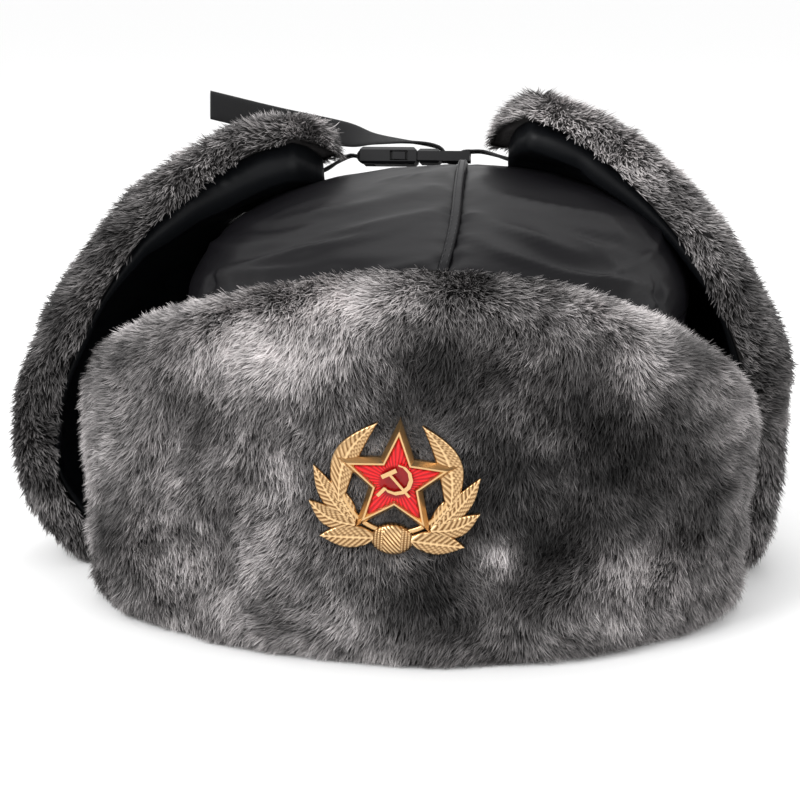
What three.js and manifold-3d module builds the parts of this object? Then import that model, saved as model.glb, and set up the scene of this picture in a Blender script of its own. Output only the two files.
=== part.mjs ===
// A winter fur hat with its ear flaps tied up over the crown: soft padded crown, fur visor with a metal
// cockade, two ear flaps and a neck flap of fur on a thin lining, and a webbing strap with a side-release
// buckle. Units are millimetres, +Z is up, the visor faces -Y and the hat stands on its rim at z = 0.
import * as THREE from 'three';
import { mergeVertices } from 'three/addons/utils/BufferGeometryUtils.js';
import Module from 'manifold-3d';

const wasm = await Module();
wasm.setup();

// Head hollow and crown
const HEAD_HALF_WIDTH = 80;
const HEAD_HALF_LENGTH = 100;
const CROWN_WALL = 5;
const CROWN_HEIGHT = 136;
const SHOULDER_HEIGHT = 90;
const BAND_LIFT = 5;
const SEAM_TAPE_WIDTH = 4;
const SEAM_TAPE_THICKNESS = 1;

// Linings, piles and the gap that sewn pieces keep
const LINING = 3;
const GAP = 0.3;
const VISOR_PILE = 18;
const EAR_PILE = 16;
const NECK_PILE = 14;
const TIP_ROUND = 9;
const FOOT_SHARE = 0.32;
const LOCK_HEIGHT = 2.2;
const LOCK_DROOP = 4.5;
const LOCK_SWAY = 2.5;

// Visor
const VISOR_HEIGHT = 120;
const VISOR_HALF_ANGLE = 68;
const VISOR_LEAN = 7;
const VISOR_FLARE_LEFT = 22;
const VISOR_FLARE_RIGHT = 9;
const VISOR_CORNER = 5;

// Ear flaps and neck flap
const EAR_FRONT_ANGLE = 73;
const EAR_BACK_ANGLE = 128;
const FLAP_LENGTH = 200;
const FLAP_SLIDE = 18;
const FLAP_HUG = 3;
const FLAP_DROOP = 0.2;
const FOLD_ROOM = 1.8;
const CHORD_ROOM = 1.2;
const CLEAR_STEP = 0.002;
const NECK_RISE = CROWN_HEIGHT + 7;
const NECK_EDGE = 0.5;
const NECK_TIP = 28;
const NECK_SEAM = 1.2;
const LEFT_SPREAD = 131;
const LEFT_RISE = CROWN_HEIGHT + 12.5;
const LEFT_TIP = 31;
const RIGHT_SPREAD = 101;
const RIGHT_RISE = CROWN_HEIGHT + 21;
const RIGHT_TIP = 13;
const EARS = [
  { name: 'left', side: -1, spread: LEFT_SPREAD, rise: LEFT_RISE, tip: LEFT_TIP },
  { name: 'right', side: 1, spread: RIGHT_SPREAD, rise: RIGHT_RISE, tip: RIGHT_TIP },
];

// Webbing and buckle
const WEBBING_WIDTH = 10;
const WEBBING_THICKNESS = 1.2;
const SOCKET_LENGTH = 20;
const SOCKET_CAVITY = 12.5;
const PLUG_BLOCK = 8;
const PLUG_PRONG = 11;
const ADJUSTER_SLOT = 3;
const BUCKLE_WIDTH = 17;
const SOCKET_THICKNESS = 6;
const PLUG_THICKNESS = 5;
const BUCKLE_WALL = 1.3;
const BUCKLE_BAR = 2.2;
const STRAP_DENT = 5.5;
const DENT_WIDE = 36;
const DENT_LONG = 21;
const BUCKLE_PLACE = { x: -9, y: 32, z: CROWN_HEIGHT - 2, tilt: -10 };

// Cockade
const BADGE_WIDTH = 50;
const BADGE_PLATE = 1.4;
const BADGE_PLACE = { x: -6.3, y: -127.4, z: 59, lean: 3.5, turn: -4 };
const STAR_RADIUS = 17.6;
const STAR_WAIST = 0.44;
const STAR_RISE = 3.2;
const STAR_TAPER = 0.95;
const ENAMEL_THICKNESS = 1;
const EMBLEM_RADIUS = 4.6;
const EMBLEM_THICKNESS = 0.9;
const LEAF_STEPS = 4;
const FINEST_EDGE = 0.02;
const WREATH_INNER = 15.2;
const WREATH_OUTER = 16.8;
const WREATH_OPEN = 42;
const BINDING = { x: 6.4, y: 4.8, rise: 2.6, drop: 18, band: 1.6, pitch: 4, proud: 0.35 };
const ENAMEL_INSET = 3.36;
const BADGE_SEAT_RADIUS = 29;
const BADGE_POST_RADIUS = 1.5;

// Half sizes of the crown's rim and of the linings' outer face
const RIM_A = HEAD_HALF_WIDTH + CROWN_WALL;
const RIM_B = HEAD_HALF_LENGTH + CROWN_WALL;
const FACE_A = RIM_A + GAP + LINING;
const FACE_B = RIM_B + GAP + LINING;

// Crown levels above the shoulder: rise is a share of the dome's height, reach of the rim's half sizes.
const CROWN_LEVELS = [
  { rise: 0.0, reach: 1.0 },
  { rise: 0.16, reach: 0.985 },
  { rise: 0.38, reach: 0.91 },
  { rise: 0.6, reach: 0.79 },
  { rise: 0.78, reach: 0.61 },
  { rise: 0.9, reach: 0.4 },
  { rise: 0.97, reach: 0.2 },
  { rise: 1.0, reach: 0.0 },
];

// Soft folds across the crown: where they lie round and up the crown, and how wide and high they are.
const CROWN_FOLDS = [
  { angle: -38, level: 0.34, spread: 30, band: 0.08, height: 1.6 },
  { angle: -30, level: 0.55, spread: 34, band: 0.07, height: 1.3 },
  { angle: -62, level: 0.7, spread: 26, band: 0.08, height: -1.5 },
  { angle: 34, level: 0.32, spread: 26, band: 0.08, height: 1.5 },
  { angle: 48, level: 0.52, spread: 30, band: 0.07, height: -1.4 },
  { angle: 22, level: 0.68, spread: 22, band: 0.07, height: 1.3 },
  { angle: 150, level: 0.4, spread: 34, band: 0.1, height: -1.6 },
  { angle: -140, level: 0.55, spread: 34, band: 0.1, height: 1.4 },
];

// The visor's upper edge: turn is a share of its half angle, left and right are shares of its height, and
// corner is the share of the visor's corner by which it stands off the head's oval.
const VISOR_EDGE = [
  { turn: 0.0, left: 1.0, right: 1.0, corner: 0 },
  { turn: 0.26, left: 0.97, right: 0.975, corner: 0.15 },
  { turn: 0.5, left: 0.91, right: 0.9, corner: 0.7 },
  { turn: 0.72, left: 0.83, right: 0.79, corner: 1 },
  { turn: 0.88, left: 0.73, right: 0.67, corner: 0.6 },
  { turn: 1.0, left: 0.58, right: 0.52, corner: 0 },
];

// A flap from rim to tip: path along it, rise of the flap's rise, bulge from the rim out to the spread, and
// curl from the spread in to the tip, to which left and right add at the front of each ear flap.
const FLAP_PATH = [
  { path: 0.0, rise: 0.0, bulge: 0.0, curl: 0.0, left: 0, right: 0 },
  { path: 0.11, rise: 0.09, bulge: 0.66, curl: 0.0, left: 0, right: 0 },
  { path: 0.22, rise: 0.22, bulge: 0.93, curl: 0.0, left: 0, right: 0.005 },
  { path: 0.32, rise: 0.35, bulge: 1.0, curl: 0.0, left: 0.035, right: 0.01 },
  { path: 0.4, rise: 0.46, bulge: 1.0, curl: 0.03, left: 0.05, right: -0.025 },
  { path: 0.55, rise: 0.66, bulge: 1.0, curl: 0.16, left: 0.07, right: 0 },
  { path: 0.69, rise: 0.815, bulge: 1.0, curl: 0.34, left: 0.07, right: 0.04 },
  { path: 0.84, rise: 0.94, bulge: 1.0, curl: 0.62, left: 0.045, right: 0.02 },
  { path: 0.94, rise: 0.985, bulge: 1.0, curl: 0.84, left: 0.02, right: 0 },
  { path: 1.0, rise: 1.0, bulge: 1.0, curl: 1.0, left: 0, right: 0 },
];

// The ear flap's free edge: turn runs from its front edge to the neck seam, edge is a share of the path.
const FLAP_EDGE = [
  { turn: 0.0, edge: 0.93 },
  { turn: 0.12, edge: 0.985 },
  { turn: 0.3, edge: 1.0 },
  { turn: 0.5, edge: 0.93 },
  { turn: 0.72, edge: 0.72 },
  { turn: 0.88, edge: 0.56 },
  { turn: 1.0, edge: NECK_EDGE },
];

// Where the straps lie under the flaps, as turns and shares of each flap's surface.
const STRAP_LEFT = [
  { turn: 0.32, share: 0.97 },
  { turn: 0.31, share: 0.94 },
  { turn: 0.3, share: 0.91 },
];
const STRAP_RIGHT = [
  { turn: 0.3, share: 0.91 },
  { turn: 0.31, share: 0.94 },
  { turn: 0.32, share: 0.97 },
];

// The webbing's way round the adjuster's bars, in the buckle's own frame, from the right flap on.
const ADJUSTER_PATH = [
  { x: 24, z: 1.8 },
  { x: 19, z: 2.0 },
  { x: 17.3, z: 2.0 },
  { x: 15.5, z: 1.5 },
  { x: 14.9, z: 0 },
  { x: 14.2, z: -1.5 },
  { x: 12.4, z: -2.05 },
  { x: 10.6, z: -1.5 },
  { x: 9.9, z: 0 },
  { x: 9.3, z: 1.8 },
  { x: 7.6, z: 3.4 },
  { x: 3.0, z: 4.6 },
];

// The loose tail: its place, as a lift above the crown's height, and how far its width has turned up.
const TAIL_PATH = [
  { x: -14, y: 32, lift: 3.5, turn: -2 },
  { x: -25, y: 33.5, lift: 4.2, turn: 18 },
  { x: -36, y: 37, lift: 5.6, turn: 56 },
  { x: -58, y: 36, lift: 9.8, turn: 76 },
  { x: -82, y: 27, lift: 16.4, turn: 82 },
];

// Wreath leaves on the left half of the cockade, as shares of its width from the star's centre.
const LEAVES = [
  { baseX: -0.322, baseY: -0.157, tipX: -0.13, tipY: 0.336, width: 0.145, bow: 0.075, rise: 1.0 },
  { baseX: -0.264, baseY: -0.26, tipX: -0.478, tipY: 0.051, width: 0.11, bow: 0.018, rise: 0.9 },
  { baseX: -0.22, baseY: -0.27, tipX: -0.38, tipY: -0.04, width: 0.1, bow: 0, rise: 0.8 },
  { baseX: -0.218, baseY: -0.286, tipX: -0.492, tipY: -0.162, width: 0.12, bow: 0.035, rise: 1.1 },
  { baseX: -0.107, baseY: -0.356, tipX: -0.418, tipY: -0.369, width: 0.145, bow: 0, rise: 1.2 },
];

// Materials
const cloth = (color) => new THREE.MeshStandardMaterial({ color, roughness: 0.5, metalness: 0 });
const MATERIALS = {
  nylon: cloth(0x222226),
  lining: cloth(0x1a1b1f),
  fur: new THREE.MeshStandardMaterial({ color: 0x5c5858, roughness: 0.95, metalness: 0 }),
  webbing: new THREE.MeshStandardMaterial({ color: 0x18181b, roughness: 0.8, metalness: 0 }),
  plastic: new THREE.MeshStandardMaterial({ color: 0x1c1c1f, roughness: 0.4, metalness: 0 }),
  gold: new THREE.MeshStandardMaterial({ color: 0xd8a650, roughness: 0.3, metalness: 1 }),
  enamel: new THREE.MeshStandardMaterial({ color: 0xc8151b, roughness: 0.15, metalness: 0 }),
};

// Small numeric helpers
const rad = THREE.MathUtils.degToRad;
const mix = THREE.MathUtils.lerp;
const clamp = THREE.MathUtils.clamp;
const smooth = (x) => THREE.MathUtils.smoothstep(x, 0, 1);
const steps = (from, to, count) => Array.from({ length: count + 1 }, (_, i) => mix(from, to, i / count));
const V = (x, y, z) => new THREE.Vector3(x, y, z);

// A smooth curve through one column of a table against another.
function column(rows, key, name, at) {
  const last = rows.length - 1;
  const x = clamp(at, rows[0][key], rows[last][key]);
  let i = rows.findIndex((row, k) => k < last && x <= rows[k + 1][key]);
  if (i < 0) i = last - 1;
  const slope = (k) => {
    const a = rows[Math.max(k - 1, 0)];
    const b = rows[Math.min(k + 1, last)];
    return (b[name] - a[name]) / (b[key] - a[key]);
  };
  const [p, q] = [rows[i], rows[i + 1]];
  const h = q[key] - p[key];
  const t = (x - p[key]) / h;
  const [t2, t3] = [t * t, t * t * t];
  return (
    (2 * t3 - 3 * t2 + 1) * p[name] +
    (t3 - 2 * t2 + t) * h * slope(i) +
    (3 * t2 - 2 * t3) * q[name] +
    (t3 - t2) * h * slope(i + 1)
  );
}

// Point at a hat angle, counted from the front towards +X, on an oval of half sizes a and b.
const oval = (a, b, angle, z) => V(a * Math.sin(rad(angle)), -b * Math.cos(rad(angle)), z);

// Unit normal of a surface point(u, v) on the side that point(u, v) + normal leads outwards.
function normalOf(point, u, v, du, dv) {
  const alongU = point(u + du, v).sub(point(u - du, v));
  const alongV = point(u, v + dv).sub(point(u, v - dv));
  return alongU.cross(alongV).normalize();
}

// One closed geometry between two grids of points, walled along the edges that are not closed on themselves.
function slabGeometry(us, vs, inner, outer, { loop = false, tufted = false } = {}) {
  const positions = [];
  const grid = (face) => us.map((u, i) => vs.map((v, j) => {
    positions.push(...face(u, v, i, j).toArray());
    return positions.length / 3 - 1;
  }));
  const back = grid(inner);
  const front = grid(outer);
  const triangles = [];
  const at = (k) => V().fromArray(positions, 3 * k);
  const face = (a, b, c) => {
    const [p, q, r] = [at(a), at(b), at(c)];
    const flat = Math.min(p.distanceTo(q), q.distanceTo(r), r.distanceTo(p)) < 1e-3;
    if (!flat) triangles.push(a, b, c);
  };
  const quad = (a, b, c, d) => {
    face(a, b, c);
    face(a, c, d);
  };
  const [m, n] = [us.length - 1, vs.length - 1];
  for (let i = 0; i < m; i += 1) {
    for (let j = 0; j < n; j += 1) {
      const corners = [front[i][j], front[i + 1][j], front[i + 1][j + 1], front[i][j + 1]];
      if (tufted && isLock(i, j)) corners.push(corners.shift());
      quad(...corners);
      quad(back[i + 1][j + 1], back[i + 1][j], back[i][j], back[i][j + 1]);
    }
    quad(back[i][0], back[i + 1][0], front[i + 1][0], front[i][0]);
    quad(back[i][n], front[i][n], front[i + 1][n], back[i + 1][n]);
  }
  for (let j = 0; j < n && !loop; j += 1) {
    quad(back[0][j], front[0][j], front[0][j + 1], back[0][j + 1]);
    quad(back[m][j], back[m][j + 1], front[m][j + 1], front[m][j]);
  }
  const geometry = new THREE.BufferGeometry();
  geometry.setAttribute('position', new THREE.Float32BufferAttribute(positions, 3));
  geometry.setIndex(triangles);
  return mergeVertices(geometry, 1e-3);
}

// Solids for cutting and joining
function toSolid(geometry, matrix = new THREE.Matrix4()) {
  const bare = geometry.clone().applyMatrix4(matrix);
  bare.deleteAttribute('normal');
  bare.deleteAttribute('uv');
  const merged = mergeVertices(bare, 1e-4);
  return new wasm.Manifold(new wasm.Mesh({
    numProp: 3,
    vertProperties: merged.attributes.position.array,
    triVerts: new Uint32Array(merged.index.array),
  }));
}

function toGeometry(solid) {
  const mesh = solid.getMesh();
  const positions = new Float32Array(mesh.numVert * 3);
  for (let i = 0; i < mesh.numVert; i += 1) {
    positions.set(mesh.vertProperties.subarray(i * mesh.numProp, i * mesh.numProp + 3), i * 3);
  }
  const geometry = new THREE.BufferGeometry();
  geometry.setAttribute('position', new THREE.BufferAttribute(positions, 3));
  geometry.setIndex(new THREE.BufferAttribute(new Uint32Array(mesh.triVerts), 1));
  return geometry;
}

const moved = (x, y, z) => new THREE.Matrix4().makeTranslation(x, y, z);
const boxSolid = (w, d, h, x, y, z) => toSolid(new THREE.BoxGeometry(w, d, h), moved(x, y, z));
const extruded = (shape, depth, z = 0) =>
  toSolid(new THREE.ExtrudeGeometry(shape, { depth, bevelEnabled: false, curveSegments: 6 }), moved(0, 0, z));

const hat = new THREE.Group();
function add(name, geometry, material, parent = hat) {
  const mesh = new THREE.Mesh(geometry, material);
  mesh.name = name;
  parent.add(mesh);
  return mesh;
}

// Crown
function foldHeight(angle, level) {
  const turn = (fold) => {
    const apart = Math.abs(angle - fold.angle) % 360;
    return Math.min(apart, 360 - apart);
  };
  const near = (fold) =>
    Math.exp(-((turn(fold) / fold.spread) ** 2) - ((level - fold.level) / fold.band) ** 2);
  return CROWN_FOLDS.reduce((sum, fold) => sum + fold.height * near(fold), 0);
}

// How far the tied strap and its buckle press the soft crown in.
const strapDent = (x, y) =>
  STRAP_DENT * Math.exp(-(((x - BUCKLE_PLACE.x) / DENT_WIDE) ** 2) - ((y - BUCKLE_PLACE.y) / DENT_LONG) ** 2);

// The dome's surface: level 0 at the shoulder to 1 at the top, depth below the outer face.
function domePoint(angle, level, depth) {
  const rise = column(CROWN_LEVELS, 'rise', 'rise', level);
  const reach = column(CROWN_LEVELS, 'rise', 'reach', level);
  const fold = depth > 0 ? 0 : foldHeight(angle, level) * Math.sin(Math.PI * Math.min(level * 1.2, 1));
  const height = SHOULDER_HEIGHT + (CROWN_HEIGHT - SHOULDER_HEIGHT) * rise;
  const share = depth / CROWN_WALL;
  const point = oval(
    reach * mix(RIM_A, HEAD_HALF_WIDTH, share),
    reach * mix(RIM_B, HEAD_HALF_LENGTH, share),
    angle,
    height - depth * rise + fold,
  );
  point.z -= strapDent(point.x, point.y);
  return point;
}

function makeDome() {
  const levels = CROWN_LEVELS.map((row) => row.rise);
  for (const [name, from, to] of [['crown_top_right', 0, 180], ['crown_top_left', 180, 360]]) {
    const geometry = slabGeometry(
      steps(from, to, 16),
      levels,
      (angle, level) => domePoint(angle, level, CROWN_WALL),
      (angle, level) => domePoint(angle, level, 0),
    );
    const half = add(name, geometry, MATERIALS.nylon);
    half.position.x = (from < 180 ? 1 : -1) * GAP / 2;
  }
}

function makeBand() {
  const wall = (a, b) => (angle, z) => oval(a, b, angle, z);
  const geometry = slabGeometry(
    steps(0, 360, 40),
    [BAND_LIFT, SHOULDER_HEIGHT / 2, SHOULDER_HEIGHT - GAP],
    wall(HEAD_HALF_WIDTH, HEAD_HALF_LENGTH),
    wall(RIM_A, RIM_B),
    { loop: true },
  );
  add('crown_band', geometry, MATERIALS.nylon);
}

// The felled strip that covers the crown's centre seam from front to back.
function makeSeamTape() {
  const spine = [...CROWN_LEVELS.map((row) => ({ angle: 0, level: row.rise })),
    ...CROWN_LEVELS.map((row) => ({ angle: 180, level: row.rise })).reverse().slice(1)];
  const at = (k) => {
    const { angle, level } = spine[Math.round(k)];
    return domePoint(angle, level, 0);
  };
  const last = spine.length - 1;
  const lift = (k) => {
    const ahead = at(Math.min(k + 1, last)).sub(at(Math.max(k - 1, 0)));
    return V(0, -ahead.z, ahead.y).normalize();
  };
  const face = (height) => (x, k) => at(k).addScaledVector(lift(k), height).add(V(x, 0, 0));
  const geometry = slabGeometry(
    [-SEAM_TAPE_WIDTH / 2, SEAM_TAPE_WIDTH / 2],
    spine.map((_, k) => k),
    face(2 * GAP),
    face(2 * GAP + SEAM_TAPE_THICKNESS),
  );
  add('crown_seam_tape', geometry, MATERIALS.nylon);
}

// Pile: full height inside, falling in a quarter round within its own height of a free edge.
const round = (distance, pile) => Math.sqrt(Math.max(0, 1 - (1 - clamp(distance / pile, 0, 1)) ** 2));

// A lock of fur stands proud at every other grid point and droops towards the rim.
const isLock = (i, j) => (i + j) % 2 === 0;
const lockSize = (i, j) => 0.7 + 0.3 * Math.sin(i * 12.9 + j * 7.8);
const lockSway = (i, j) => Math.sin(i * 5.3 - j * 9.1);

// Outer face of a fur panel over point(u, v), with locks away from its borders.
function furFace(point, normal, height, us, vs) {
  const down = V(0, 0, -1);
  return (u, v, i, j) => {
    const edge = i === 0 || j === 0 || i === us.length - 1 || j === vs.length - 1;
    const lock = !edge && isLock(i, j) ? lockSize(i, j) : 0;
    const out = normal(u, v);
    const aside = out.clone().cross(down).normalize();
    const top = point(u, v).addScaledVector(out, GAP + height(u, v) + lock * LOCK_HEIGHT);
    top.addScaledVector(down, lock * LOCK_DROOP).addScaledVector(aside, lock * lockSway(i, j) * LOCK_SWAY);
    top.z = Math.max(top.z, 0);
    return top;
  };
}

// A face at one height over point(u, v), kept off the floor.
const levelFace = (point, normal, height) => (u, v) => {
  const place = point(u, v).addScaledVector(normal(u, v), height);
  place.z = Math.max(place.z, 0);
  return place;
};

function furGeometry(point, normal, height, us, vs) {
  const outer = furFace(point, normal, height, us, vs);
  return slabGeometry(us, vs, levelFace(point, normal, GAP), outer, { tufted: true });
}

const liningGeometry = (point, normal, us, vs) =>
  slabGeometry(us, vs, levelFace(point, normal, -LINING), levelFace(point, normal, 0));

// Visor: turn is -1 to 1 from left end to right end, rise 0 to 1 from rim to upper edge.
const visorEdge = (turn) =>
  VISOR_HEIGHT * column(VISOR_EDGE, 'turn', turn < 0 ? 'left' : 'right', Math.abs(turn));
function visorPoint(turn, z) {
  const flare = (turn < 0 ? VISOR_FLARE_LEFT : VISOR_FLARE_RIGHT) * Math.abs(turn) ** 3;
  const corner = VISOR_CORNER * column(VISOR_EDGE, 'turn', 'corner', Math.abs(turn));
  const out = VISOR_LEAN * Math.max(z / VISOR_HEIGHT, 0) ** 1.5 + flare + corner;
  return oval(FACE_A + out, FACE_B + out, turn * VISOR_HALF_ANGLE, z);
}

function makeVisor() {
  const point = (turn, rise) => visorPoint(turn, rise * visorEdge(turn));
  const normal = (turn, rise) => normalOf(point, turn, rise, 0.01, 0.01);
  const turns = [0, 0.08, 0.17, 0.26, 0.35, 0.44, 0.53, 0.62, 0.71, 0.8, 0.88, 0.94, 1];
  const rises = [0, 0.05, 0.12, 0.21, 0.3, 0.39, 0.48, 0.57, 0.66, 0.75, 0.83, 0.9, 0.955, 1];
  const left = turns.map((turn) => -turn).reverse();
  const backed = [...left.slice(1, -1), ...turns.slice(0, -1)];
  add('visor_backing', liningGeometry(point, normal, backed, rises.slice(0, -1)), MATERIALS.lining);

  const arc = rad(VISOR_HALF_ANGLE) * (FACE_A + FACE_B) / 2;
  const height = (turn, rise) => {
    const end = (1 - Math.abs(turn)) * arc;
    const top = (1 - rise) * visorEdge(turn);
    const foot = rise * visorEdge(turn) + VISOR_PILE * FOOT_SHARE;
    return VISOR_PILE * round(end, VISOR_PILE) * round(top, VISOR_PILE) * round(foot, VISOR_PILE);
  };
  for (const [name, side, us] of [['visor_fur_left', -1, left], ['visor_fur_right', 1, turns]]) {
    const half = toSolid(furGeometry(point, normal, height, us, rises), moved(side * GAP / 2, 0, 0));
    add(name, toGeometry(half.subtract(badgeRoom())), MATERIALS.fur);
  }
}

// Moves a point straight away from the middle of the head until a lining inside it clears the crown.
function clearOfCrown(point) {
  const middle = V(0, 0, SHOULDER_HEIGHT - 20);
  const ray = point.clone().sub(middle);
  const room = LINING + GAP + CHORD_ROOM * clamp(point.z / CHORD_ROOM / 10, 0, 1);
  const top = CROWN_HEIGHT + room + FOLD_ROOM;
  const inside = (share) => {
    const p = middle.clone().addScaledVector(ray, share);
    const rise = (p.z - SHOULDER_HEIGHT) / (top - SHOULDER_HEIGHT);
    if (rise >= 1) return false;
    const reach = rise > 0 ? column(CROWN_LEVELS, 'rise', 'reach', rise) : 1;
    return Math.hypot(p.x / (RIM_A + room), p.y / (RIM_B + room)) < reach - 1e-6;
  };
  let share = 1;
  while (inside(share)) share += CLEAR_STEP;
  return middle.addScaledVector(ray, share);
}

// Ear flap: turn 0 to 1 from its front edge to the neck seam, path 0 to 1 from the rim to the tip.
const flapEdge = (turn) => column(FLAP_EDGE, 'turn', 'edge', turn);
function flapPoint(ear, turn, path) {
  const rise = column(FLAP_PATH, 'path', 'rise', path);
  const bulge = column(FLAP_PATH, 'path', 'bulge', path);
  const curl = column(FLAP_PATH, 'path', 'curl', path)
    + column(FLAP_PATH, 'path', ear.name, path) * (1 - smooth(turn));
  const angle = mix(EAR_FRONT_ANGLE, EAR_BACK_ANGLE, turn);
  const lead = Math.sin(rad(EAR_FRONT_ANGLE));
  const front = mix(mix(FACE_A, ear.spread / lead, bulge), ear.tip / lead, curl);
  const back = mix(FACE_A + FLAP_HUG * bulge, NECK_TIP, curl);
  const reach = mix(front, back, smooth(turn));
  const length = (FACE_B + FLAP_HUG * bulge) * mix(1, 0.75, curl);
  const height = mix(ear.rise, NECK_RISE, turn) * rise * (1 - FLAP_DROOP * turn * curl * 2);
  const point = oval(reach, length, angle, height);
  point.x *= ear.side;
  point.y += FLAP_SLIDE * curl;
  return clearOfCrown(point);
}

const flapSurface = (ear) => (turn, share) => flapPoint(ear, turn, share * flapEdge(turn));
const flapNormal = (ear) => (turn, share) =>
  normalOf(flapSurface(ear), clamp(turn, 0.01, 0.99), clamp(share, 0.01, 0.99), 0.01, 0.01)
    .multiplyScalar(ear.side);

function makeEar(ear) {
  const point = flapSurface(ear);
  const normal = flapNormal(ear);
  const turns = [0, 0.05, 0.12, 0.2, 0.29, 0.38, 0.47, 0.56, 0.65, 0.74, 0.83, 0.92, 1];
  const shares = [0, 0.03, 0.08, ...steps(0.14, 0.84, 10), 0.9, 0.95, 0.98, 1];
  const order = (values) => (ear.side > 0 ? values : [...values].reverse());
  const backed = liningGeometry(point, normal, order(turns.slice(1)), shares.slice(0, -2));
  add(`ear_flap_${ear.name}_lining`, backed, MATERIALS.lining);

  const width = rad(EAR_BACK_ANGLE - EAR_FRONT_ANGLE) * FACE_B;
  const height = (turn, share) => {
    const edge = share * FLAP_LENGTH * flapEdge(turn);
    const top = (1 - share) * FLAP_LENGTH * flapEdge(turn);
    return mix(EAR_PILE, NECK_PILE, turn) * round(turn * width, EAR_PILE) * round(top, TIP_ROUND)
      * round(edge + EAR_PILE * FOOT_SHARE, EAR_PILE);
  };
  const geometry = furGeometry(point, normal, height, order(turns), shares);
  add(`ear_flap_${ear.name}_fur`, geometry, MATERIALS.fur);
}

// Neck flap between the two ear flaps, on the same rise as their back edges.
function makeNeck() {
  const seam = THREE.MathUtils.radToDeg(NECK_SEAM / FACE_B);
  const point = (angle, share) => {
    const path = share * NECK_EDGE;
    const bulge = column(FLAP_PATH, 'path', 'bulge', path);
    const curl = column(FLAP_PATH, 'path', 'curl', path);
    const rise = column(FLAP_PATH, 'path', 'rise', path);
    const out = FLAP_HUG * bulge;
    const z = NECK_RISE * rise * (1 - FLAP_DROOP * curl * 2);
    const place = oval(mix(FACE_A + out, NECK_TIP, curl), (FACE_B + out) * mix(1, 0.75, curl), angle, z);
    place.y += FLAP_SLIDE * curl;
    return clearOfCrown(place);
  };
  const normal = (angle, share) => normalOf(point, angle, clamp(share, 0.01, 0.99), 1, 0.01);
  const from = EAR_BACK_ANGLE + seam;
  const to = 360 - EAR_BACK_ANGLE - seam;
  const us = steps(from, to, 14);
  const shares = [0, 0.07, 0.17, 0.28, 0.4, 0.52, 0.64, 0.76, 0.87, 0.95, 1];
  add('neck_flap_lining', liningGeometry(point, normal, us, shares.slice(0, -2)), MATERIALS.lining);

  const height = (angle, share) => {
    const top = (1 - share) * FLAP_LENGTH * NECK_EDGE;
    const edge = share * FLAP_LENGTH * NECK_EDGE + NECK_PILE * FOOT_SHARE;
    return NECK_PILE * round(top, NECK_PILE) * round(edge, NECK_PILE);
  };
  add('neck_flap_fur', furGeometry(point, normal, height, us, shares), MATERIALS.fur);
}

// Webbing: a ribbon along points that each carry the direction of its width.
function ribbonSolid(controls, count) {
  const line = new THREE.CatmullRomCurve3(controls.map((c) => c.place), false, 'centripetal');
  const sides = new THREE.CatmullRomCurve3(controls.map((c) => c.across), false, 'centripetal');
  const at = (t) => {
    const across = sides.getPoint(t).normalize();
    const normal = across.clone().cross(line.getTangent(t)).normalize();
    return { place: line.getPoint(t), across, normal };
  };
  const face = (height) => (side, t) => {
    const { place, across, normal } = at(t);
    return place.addScaledVector(across, side).addScaledVector(normal, height);
  };
  const [half, thick] = [WEBBING_WIDTH / 2, WEBBING_THICKNESS / 2];
  return toSolid(slabGeometry([-half, half], steps(0, 1, count), face(-thick), face(thick)));
}

const buckleMatrix = new THREE.Matrix4()
  .makeRotationX(rad(BUCKLE_PLACE.tilt))
  .setPosition(BUCKLE_PLACE.x, BUCKLE_PLACE.y, BUCKLE_PLACE.z);
const buckleSide = V(0, 1, 0).transformDirection(buckleMatrix);
const onBuckle = (x, z) => ({ place: V(x, 0, z).applyMatrix4(buckleMatrix), across: buckleSide });

// Where a strap lies flat against the inside of a flap's lining.
function underFlap(ear, turn, share, sense) {
  const surface = flapSurface(ear);
  const depth = LINING + 2 * GAP + WEBBING_THICKNESS / 2;
  const across = surface(turn + 0.02, share).sub(surface(turn - 0.02, share)).normalize();
  const place = surface(turn, share).addScaledVector(flapNormal(ear)(turn, share), -depth);
  return { place, across: across.multiplyScalar(sense) };
}

const loopOf = (x) => {
  const inner = BUCKLE_BAR / 2 + GAP;
  const ring = new THREE.Shape().absarc(0, 0, inner + WEBBING_THICKNESS, 0, 2 * Math.PI);
  ring.holes.push(new THREE.Path().absarc(0, 0, inner, 0, 2 * Math.PI));
  const upright = new THREE.Matrix4().makeRotationX(Math.PI / 2).setPosition(x, WEBBING_WIDTH / 2, 0);
  const options = { depth: WEBBING_WIDTH, bevelEnabled: false, curveSegments: 7 };
  return toSolid(new THREE.ExtrudeGeometry(ring, options), buckleMatrix.clone().multiply(upright));
};

function makeStraps() {
  const bar = -SOCKET_LENGTH + BUCKLE_BAR / 2;
  const start = bar - BUCKLE_BAR / 2 - GAP - WEBBING_THICKNESS / 2;
  const left = ribbonSolid([
    onBuckle(start, 0),
    onBuckle(start - 4, 0),
    ...STRAP_LEFT.map(({ turn, share }) => underFlap(EARS[0], turn, share, 1)),
  ], 14);
  add('strap_left', toGeometry(left.add(loopOf(bar))), MATERIALS.webbing);

  const tail = TAIL_PATH.map(({ x, y, lift, turn }) => ({
    place: V(x, y, CROWN_HEIGHT + lift),
    across: V(0, Math.cos(rad(turn)), Math.sin(rad(turn))),
  }));
  const right = ribbonSolid([
    ...STRAP_RIGHT.map(({ turn, share }) => underFlap(EARS[1], turn, share, 1)),
    ...ADJUSTER_PATH.map(({ x, z }) => onBuckle(x, z)),
    ...tail,
  ], 54);
  add('strap_right', toGeometry(right), MATERIALS.webbing);
}

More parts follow.
